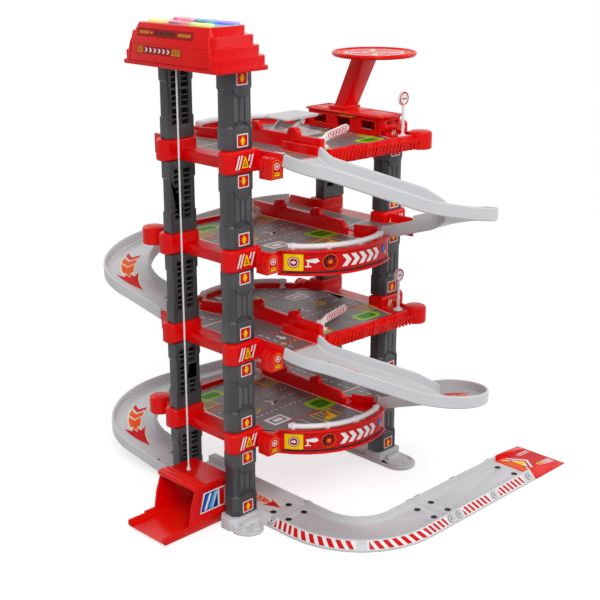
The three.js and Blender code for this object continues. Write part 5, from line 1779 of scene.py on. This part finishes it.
class GARAGE_OT_signs(GarageOperator, bpy.types.Operator):
    """Round signs with a red ring and a bar"""

    bl_idname = "garage.signs"
    bl_label = "Signs"

    def build(self):
        disc_z = SIGN_HEIGHT - SIGN_RADIUS
        profile = [
            (0, FIT), (5.5, FIT), (5.5, 0.9), (4.9, 1.6), (3.2, 2.0), (2.4, 2.4), (1.7, 3.6), (1.5, 6.0),
            (1.5, disc_z - 5.0), (0, disc_z - 5.0),
        ]
        pole = lathed("sign_pole", profile, white_plastic(), 24)
        half = SIGN_THICKNESS / 2
        inner = SIGN_RADIUS - 0.35
        edge = half - 0.35
        profile = [
            (0, -half), (inner, -half), (SIGN_RADIUS, -edge), (SIGN_RADIUS, edge), (inner, half), (0, half),
        ]
        disc = lathed("sign_disc", profile, white_plastic(), 44)
        settle(disc, Matrix.Translation((0, 0, disc_z)) @ Matrix.Rotation(math.pi / 2, 4, "X"))
        stand = joined("sign_pattern", [pole, disc])
        smooth(stand, 40)
        face = sign_face("sign_face")
        for level in LEVELS:
            node = "sign_" + str(level)
            place = level_frame(level) @ Matrix.Translation((SIGN_X, SIGN_Y, 0))
            finished(copy_of(stand, node + "_stand", place), "garage", "white_plastic", node)
            for side, word in ((-1, "_face_front"), (1, "_face_back")):
                spot = place @ upright(0, side * (half + 0.02), disc_z, 90 * side)
                finished(copy_of(face, node + word, spot), "garage", "white_plastic")
        discard(stand, face)


# Lift, tower and winch


def cab_window(name, way):
    """A blue side window with a white frame and pale streaks. It leans with the cab's front."""
    x0, x1, y0, y1 = -153.0, -119.0, 18.6, 40.4
    middle = (CAB_ROOF_FRONT + CAB_BACK) / 2
    lean = 5.5
    split = x1 - 8.5

    def pane(inset, right=x1):
        return [
            (x0 + inset * 0.8, y0 + inset), (right - inset, y0 + inset), (right - inset, y1 - inset),
            (x0 + lean + inset * 1.2, y1 - inset),
        ]

    def streak(low, high, width):
        return [(low, y0 + 2.6), (low + width, y0 + 2.6), (high + width, y1 - 2.6), (high, y1 - 2.6)]

    layers = (
        ("white", [pane(0.0)]),
        ("deep_blue", [pane(1.5, split)]),
        ("blue", [streak(-150.2, -144.0, 8.0)]),
        ("sky", [streak(-141.5, -134.0, 6.0)]),
        ("white", [streak(-147.5, -140.0, 3.2), streak(-137.0, -131.0, 1.3)]),
        ("red", [rectangle(split + 0.9, x1 - 1.5, y0 + 1.5, y1 - 1.5)]),
    )
    return printed(
        name, [(shade_name, mirrored(loops, way, middle)) for shade_name, loops in layers], 0.05
    )


class GARAGE_OT_lift_cab(GarageOperator, bpy.types.Operator):
    """The lift cab with its blue side windows, roof ribs, side rail and cord knot"""

    bl_idname = "garage.lift_cab"
    bl_label = "Lift cab"

    def build(self):
        moulded("lift_cab", "cab", "red_plastic", 0.0005, 3)
        middle = (CAB_ROOF_FRONT + CAB_BACK) / 2
        strips = [soft_rectangle(-44, -2, 9.2, 11.2, 0.9), soft_rectangle(6, 40, 12.6, 14.0, 0.6)]
        for side, word in ((-1, "front"), (1, "rear")):
            window = TOWER_FRAME @ upright(middle, side * (CAB_HALF_WIDTH - 0.78), 0, 90 * side)
            put(cab_window("cab_window_" + word, -side), window, "cab", "white_plastic")
            rail = flat("cab_rail_" + word, strips, -0.3, 0.75, red_plastic())
            soften(rail, 0.35, 3)
            if side > 0:
                settle(rail, Matrix.Diagonal((-1, 1, 1, 1)))
            wall = TOWER_FRAME @ upright(middle, side * CAB_HALF_WIDTH, 0, 90 * side)
            put(rail, wall, "cab", "red_plastic", 35)
        ribs = []
        for x, radius, z in ((-157.9, 3.1, 48.6), (-152.2, 2.3, 49.8), (-146.8, 2.0, 50.1)):
            line = [(x, y, z) for y in (-CAB_HALF_WIDTH + 0.4, CAB_HALF_WIDTH - 0.4)]
            rib = swept("cab_rib", line, circle(0, 0, radius, 20), red_plastic())
            soften(rib, 0.6, 3, 60)
            ribs.append(rib)
        put(joined("cab_roof_ribs", ribs), TOWER_FRAME, "cab", "red_plastic", 40)
        profile = [
            (0, 55.2), (1.3, 55.2), (2.1, 56.0), (2.2, 57.2), (1.6, 58.3), (1.2, 59.4), (1.0, 60.6),
            (0, 60.8),
        ]
        knot = lathed("cord_knot", profile, cord_fibre(), 20)
        put(knot, TOWER_FRAME @ Matrix.Translation((CORD_X, 0, 0)), "cab", "cord", 50)


class GARAGE_OT_lift_cord(GarageOperator, bpy.types.Operator):
    """The white cord between the drum and the cab"""

    bl_idname = "garage.lift_cord"
    bl_label = "Lift cord"

    def build(self):
        length_now = DRUM_Z - CORD_LOW
        parts = 60
        line = [(CORD_X, 0, CORD_LOW + length_now * i / parts) for i in range(parts + 1)]
        cord = swept("cord_run", line, circle(0, 0, CORD_RADIUS, 12), cord_fibre())
        settle(cord, TOWER_FRAME)
        smooth(cord, 60)
        cord.name = "lift_cord_thread"
        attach(cord, "garage")
        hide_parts("lift_cord")
        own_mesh(cord)


class GARAGE_OT_winch(GarageOperator, bpy.types.Operator):
    """The drum with its turns of cord and the motor"""

    bl_idname = "garage.winch"
    bl_label = "Winch"

    def build(self):
        moulded("winch_drum", "drum", "white_plastic", 0.0003)
        moulded("winch_motor", "garage", "motor_steel", 0.0004)
        turns = 9
        steps = 28
        radius = DRUM_RADIUS + CORD_RADIUS - 0.1
        first = -DRUM_LENGTH / 2 + CORD_RADIUS
        pitch = (DRUM_LENGTH - 2 * CORD_RADIUS) / turns
        line = []
        for index in range(turns * steps + 1):
            angle = 2 * math.pi * index / steps
            x = DRUM_X + radius * math.cos(angle)
            line.append((x, first + pitch * index / steps, DRUM_Z + radius * math.sin(angle)))
        coil = swept("winch_cord_turns", line, circle(0, 0, CORD_RADIUS - 0.05, 10), cord_fibre())
        put(coil, TOWER_FRAME, "drum", "cord", 60)


def fascia_frame(row):
    """The frame of the lower or the upper part of the tower's leaning face, with its foot at zero."""
    x0, z0 = FASCIA_ROWS[row][:2]
    x1, z1 = FASCIA_ROWS[row + 1][:2]
    lean = math.atan2(x1 - x0, z1 - z0)
    return TOWER_FRAME @ upright(x0, 0, z0, 180) @ Matrix.Rotation(-lean, 4, "X")


def fascia_panel():
    """The leaning face itself: two flat parts, narrower towards the top, closed at the back."""
    points = [(x, side * half, z) for x, z, half in FASCIA_ROWS for side in (-1, 1)]
    points += [(FASCIA_BACK, side * half, z) for x, z, half in FASCIA_ROWS for side in (-1, 1)]
    faces = [(0, 1, 3, 2), (2, 3, 5, 4), (4, 5, 11, 10), (10, 11, 9, 8), (8, 9, 7, 6), (6, 7, 1, 0)]
    faces += [(0, 2, 8, 6), (2, 4, 10, 8), (1, 7, 9, 3), (3, 9, 11, 5)]
    mesh = bpy.data.meshes.new("tower_fascia")
    mesh.from_pydata(points, [], faces)
    piece = linked("tower_fascia", mesh)
    piece.data.materials.append(red_plastic())
    tidy_mesh(piece)
    soften(piece, 0.9, 3, 15)
    return piece


def sign_strip(name):
    """A bare sign strip: white chevrons between two gold plates with hatching."""
    chevron = [(0, -2.0), (1.9, -2.0), (3.8, 0), (1.9, 2.0), (0, 2.0), (1.9, 0)]
    plates = [rectangle(-44.0, -36.0, 8.2, 13.8), rectangle(6.0, 18.0, 8.2, 13.8)]
    hatch = slanted_bars(-43.4, -36.6, 8.8, 13.2, 3, 1.5) + slanted_bars(6.6, 17.4, 8.8, 13.2, 4, 1.7)
    layers = [
        ("deep_red", [rectangle(-44.8, 20.0, 7.4, 14.6)]),
        ("gold", plates),
        ("deep_red", hatch),
        ("white", [moved(chevron, -33.0 + 6.4 * i, 11.0) for i in range(6)]),
    ]
    return printed(name, layers, 0.06)


def upper_stripe(name):
    """A dark stripe with slots in its middle and a gold strip at each end."""
    slots = [soft_rectangle(-22.5 + 7.6 * i, -16.6 + 7.6 * i, 7.2, 10.8, 0.8, 3) for i in range(4)]
    gold = [soft_rectangle(-45.0, -31.0, 7.8, 10.4, 0.5, 3), soft_rectangle(11.0, 29.0, 7.8, 10.4, 0.5, 3)]
    ticks = slanted_bars(-44.5, -31.5, 8.2, 10.0, 6, 1.0, 0.4)
    ticks += slanted_bars(11.5, 28.5, 8.2, 10.0, 8, 1.0, 0.4)
    layers = [
        ("deep_red", [soft_rectangle(-48, 33, 5.0, 13.0, 1.6)]),
        ("gold", gold),
        ("deep_red", ticks),
        ("orange", [moved(arrow(4.2, 4.0, 0.4, 0.5), -29.0, 9.0)]),
        ("umber", slots),
    ]
    return printed(name, layers, 0.06)


class GARAGE_OT_tower(GarageOperator, bpy.types.Operator):
    """The stepped tower housing, its sign strip and its lamp windows"""

    bl_idname = "garage.tower"
    bl_label = "Tower"

    def build(self):
        moulded("tower_housing", "garage", "red_plastic", 0.0006, 3)
        self.add_fascia()
        self.add_cover()

    def add_fascia(self):
        put(fascia_panel(), TOWER_FRAME, "garage", "red_plastic", 35)
        for row, label in ((0, sign_strip("sign_strip")), (1, upper_stripe("upper_stripe"))):
            proud = Matrix.Translation((0, 0, 0.04))
            put(label, fascia_frame(row) @ proud, "garage", "white_plastic")
        lines = [
            rectangle(-54.0, 50.0, 16.9, 17.7), stroke(45.0, 0.8, 51.5, 17.2, 0.9),
            stroke(-56.5, 0.8, -54.6, 17.2, 0.9), rectangle(-57.0, 57.0, 0.5, 1.5),
        ]
        ribs = flat("fascia_ribs", lines, -0.4, 0.5, red_plastic())
        soften(ribs, 0.25)
        put(ribs, fascia_frame(0), "garage", "red_plastic", 35)

    def add_cover(self):
        """The lamp cover: its frame gets the red darkened as painted shade, its sunk top faces get the
        lamps.
        """
        cover = moulded("tower_light_cover", "garage", "lens_plastic", 0.0005, 3)
        for name, first, second in (
            ("green_lamp", (0.15, 0.85, 0.25), (0.95, 0.95, 0.15)),
            ("blue_lamp", (0.08, 0.16, 0.75), (0.15, 0.45, 0.90)),
            ("ruby_lamp", (0.80, 0.05, 0.10), (0.45, 0.05, 0.35)),
            ("teal_lamp", (0.05, 0.40, 0.75), (0.15, 0.70, 0.25)),
            ("amber_lamp", (0.99, 0.60, 0.03), (0.99, 0.85, 0.20)),
            ("pink_lamp", (0.98, 0.55, 0.85), (0.85, 0.15, 0.20)),
        ):
            cover.data.materials.append(lamp_plastic(name, first, second, 0.3))
        low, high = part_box("tower_light_cover")
        middle_x = (low.x + high.x) / 2
        for face in cover.data.polygons:
            if face.center.z < high.z - LAMP_DEPTH:
                continue
            row = min(2, int(3 * (face.center.y - low.y) / (high.y - low.y)))
            side = 0 if face.center.x < middle_x else 1
            face.material_index = 1 + row * 2 + side


# Top deck


class GARAGE_OT_station_house(GarageOperator, bpy.types.Operator):
    """The station house under the helicopter pad"""

    bl_idname = "garage.station_house"
    bl_label = "Station house"

    def build(self):
        moulded("station_house", "garage", "red_plastic", 0.0005)
        layers = [
            ("deep_red", [soft_rectangle(-13, 13, -2.2, 2.2, 0.6)]),
            ("gold", [rectangle(-8.2, 8.2, -1.3, 1.3)] + [circle(x, 0, 0.9, 12) for x in (-10.6, 10.6)]),
            ("deep_red", slanted_bars(-7.6, 7.6, -0.8, 0.8, 7, 0.8, 0.4)),
        ]
        strip = printed("station_strip", layers, 0.06)
        wall = TOWER_FRAME @ upright(HOUSE_X - FLOAT, -12.0, 397.4, 180)
        put(strip, wall, "garage", "white_plastic")
        trims = []
        for index in range(3):
            y = HOUSE_START + HOUSE_LENGTH * (index + 0.5) / 3
            window = flat(
                "window_frame", frame_outline(-11.2, 11.2, 384.8, 396.2, 1.2), -0.4, 0.5, red_plastic()
            )
            soften(window, 0.2)
            settle(window, upright(HOUSE_X, y, 0, 180))
            trims.append(window)
        edge = frame_outline(78.2, 107.8, -57.2, 42.8, 1.0)
        border = flat("roof_border", edge, 401.1, 401.75, red_plastic())
        soften(border, 0.2)
        trims.append(border)
        put(joined("station_trim", trims), TOWER_FRAME, "garage", "red_plastic", 35)


class GARAGE_OT_helipad(GarageOperator, bpy.types.Operator):
    """The helicopter pad on its leaning arm"""

    bl_idname = "garage.helipad"
    bl_label = "Helicopter pad"

    def build(self):
        moulded("helipad", "garage", "red_plastic", 0.0006, 3)
        middle = TOWER_FRAME @ Matrix.Translation((PAD_X, PAD_Y, 0))
        top = PAD_TOP - PAD_RECESS
        rim = [(-3.2, -PAD_RECESS), (-2.6, -0.3), (-1.4, 0.25), (-0.3, -0.4)]
        rim += [(0.1, -1.6), (-0.2, -3.2), (-1.6, -4.4), (-3.2, -4.5)]
        profile = [(PAD_RADIUS + out, PAD_TOP + rise) for out, rise in rim]
        put(lathed("pad_rim", profile, red_plastic(), 72), middle, "garage", "red_plastic", 50)
        bars = [moved(rectangle(14.5, 26.0, -2.6, 2.6), 0, 0, 90 * i + 45) for i in range(4)]
        layers = [
            ("flame", ring(0, 0, 36.0, 33.6, 64)),
            ("white", ring(0, 0, 31.0, 28.6, 64) + bars + ring(0, 0, 12.0, 10.2, 40)),
            ("yellow", [moved(arrow(13.0, 9.0, 0.4, 0.5), 0, -6.5, 90)]),
        ]
        label = printed("pad_print", layers, 0.07)
        put(label, middle @ Matrix.Translation((0, 0, top + FLOAT)), "garage", "white_plastic")


class GARAGE_OT_hoist(GarageOperator, bpy.types.Operator):
    """The car hoist on the top deck"""

    bl_idname = "garage.hoist"
    bl_label = "Car hoist"

    def build(self):
        bodies = {"hoist_base": "garage", "hoist_link": "hoist_arm", "hoist_platform": "hoist_top"}
        for node, body in bodies.items():
            moulded(node, body, "grey_plastic", 0.0003)


# Stage


class GARAGE_OT_studio(GarageOperator, bpy.types.Operator):
    """Floor, light, background and camera"""

    bl_idname = "garage.studio"
    bl_label = "Studio"

    def build(self):
        studio = bpy.context.scene.garage_studio
        add_floor()
        add_world(studio.world_strength)
        add_lamp("key_lamp", (-1.3, -1.9, 2.2), studio.key_power, 1.6)
        add_lamp("fill_lamp", (1.9, -1.1, 1.4), studio.fill_power, 1.6)
        add_lamp("back_lamp", (0.2, 2.0, 1.8), studio.fill_power * 0.7, 1.6)
        add_camera(studio.lens)
        bpy.context.scene.view_settings.view_transform = "Standard"


def add_lamp(name, place, power, size):
    data = bpy.data.lights.new(name, "AREA")
    data.shape = "DISK"
    data.size = size
    data.energy = power
    lamp = linked(name, data)
    lamp.location = place
    lamp.rotation_euler = (Vector((0, 0, 0.2)) - Vector(place)).to_track_quat("-Z", "Y").to_euler()


def add_camera(lens):
    data = bpy.data.cameras.new("front_camera")
    data.lens = lens
    data.sensor_width = 36.0
    camera = linked("front_camera", data)
    camera.location = (-0.8732, -0.8689, 0.6002)
    yaw = math.radians(45.06)
    pitch = math.radians(17.92)
    look = Vector((math.sin(yaw) * math.cos(pitch), math.cos(yaw) * math.cos(pitch), -math.sin(pitch)))
    camera.rotation_euler = look.to_track_quat("-Z", "Y").to_euler()
    bpy.context.scene.camera = camera


def seen_directly(tree):
    """One where the camera, a reflection or a view through glass sees the backdrop, else zero."""
    path = new_node(tree, "LightPath").outputs
    mirror_or_glass = math_node(tree, "MAXIMUM", path["Is Glossy Ray"], path["Is Transmission Ray"])
    return math_node(tree, "MAXIMUM", path["Is Camera Ray"], mirror_or_glass)


@made_once
def backdrop_paper(tree, shader, place):
    """Paper that fades out far away and is as bright as the backdrop where it is seen directly."""
    tone = to_linear(colours().backdrop)
    slightly = tuple(c * 0.985 for c in tone[:3]) + (1.0,)
    far = new_node(tree, "VectorMath")
    far.operation = "LENGTH"
    wire(tree, place, far.inputs[0])
    lift = math_node(tree, "MULTIPLY", seen_directly(tree), bpy.context.scene.garage_studio.floor_lift)
    for label, value in (
        ("Base Color", blend_node(tree, noise_node(tree, place, 3.0, 3.0), tone, slightly)),
        ("Roughness", 0.9),
        ("Specular IOR Level", 0.1),
        ("Emission Strength", lift),
        ("Emission Color", (1, 1, 1, 1)),
        ("Alpha", range_node(tree, far.outputs["Value"], 0.55, 1.1, 1.0, 0.0)),
    ):
        wire(tree, value, shader.inputs[label])


def add_floor():
    deselect()
    bpy.ops.mesh.primitive_grid_add(x_subdivisions=4, y_subdivisions=4, size=12, location=(0, 0, 0))
    floor = bpy.context.object
    floor.name = "studio_floor"
    floor.data.materials.append(backdrop_paper("studio_paper"))


def add_world(strength):
    """Even light on the garage, and plain white where the background is seen directly."""
    world = bpy.data.worlds.new("studio_world")
    bpy.context.scene.world = world
    world.use_nodes = True
    tree = world.node_tree
    tree.nodes.clear()
    soft = new_node(tree, "Background", {"Color": (0.95, 0.97, 1.0, 1), "Strength": strength})
    white = new_node(tree, "Background", {"Color": (1, 1, 1, 1), "Strength": 1.0})
    mix = new_node(tree, "MixShader", {"Fac": seen_directly(tree)})
    wire(tree, soft.outputs["Background"], mix.inputs[1])
    wire(tree, white.outputs["Background"], mix.inputs[2])
    new_node(tree, "OutputWorld", {"Surface": mix.outputs["Shader"]})


PIECE_OPERATORS = (
    GARAGE_OT_columns, GARAGE_OT_column_labels, GARAGE_OT_decks, GARAGE_OT_banners,
    GARAGE_OT_road_prints, GARAGE_OT_ramps, GARAGE_OT_ground_track, GARAGE_OT_feet,
    GARAGE_OT_guard_rails, GARAGE_OT_barriers, GARAGE_OT_signs, GARAGE_OT_lift_cab,
    GARAGE_OT_lift_cord, GARAGE_OT_winch, GARAGE_OT_tower, GARAGE_OT_station_house,
    GARAGE_OT_helipad, GARAGE_OT_hoist, GARAGE_OT_studio,
)


class GARAGE_PT_pieces(bpy.types.Panel):
    """Lists the garage's settings and pieces"""

    bl_idname = "GARAGE_PT_pieces"
    bl_label = "Parking garage"
    bl_space_type = "VIEW_3D"
    bl_region_type = "UI"
    bl_category = "Garage"

    def draw(self, context):
        layout = self.layout
        scene = context.scene
        for group in (scene.garage_colours, scene.garage_sizes, scene.garage_studio):
            box = layout.box()
            for key in group.bl_rna.properties.keys():
                if key not in ("rna_type", "name"):
                    box.prop(group, key)
        for operator in PIECE_OPERATORS:
            layout.operator(operator.bl_idname)


SETTINGS = (GarageColours, GarageSizes, StudioSettings)


def register():
    for made in (*SETTINGS, *PIECE_OPERATORS, GARAGE_PT_pieces):
        bpy.utils.register_class(made)
    scene = bpy.types.Scene
    scene.garage_colours = bpy.props.PointerProperty(type=GarageColours)
    scene.garage_sizes = bpy.props.PointerProperty(type=GarageSizes)
    scene.garage_studio = bpy.props.PointerProperty(type=StudioSettings)


def unregister():
    scene = bpy.types.Scene
    del scene.garage_colours
    del scene.garage_sizes
    del scene.garage_studio
    for made in reversed((*SETTINGS, *PIECE_OPERATORS, GARAGE_PT_pieces)):
        bpy.utils.unregister_class(made)


def main():
    register()
    build_groups()
    for operator in PIECE_OPERATORS:
        area, name = operator.bl_idname.split(".")
        getattr(getattr(bpy.ops, area), name)()
    deselect()


if __name__ == "__main__":
    main()
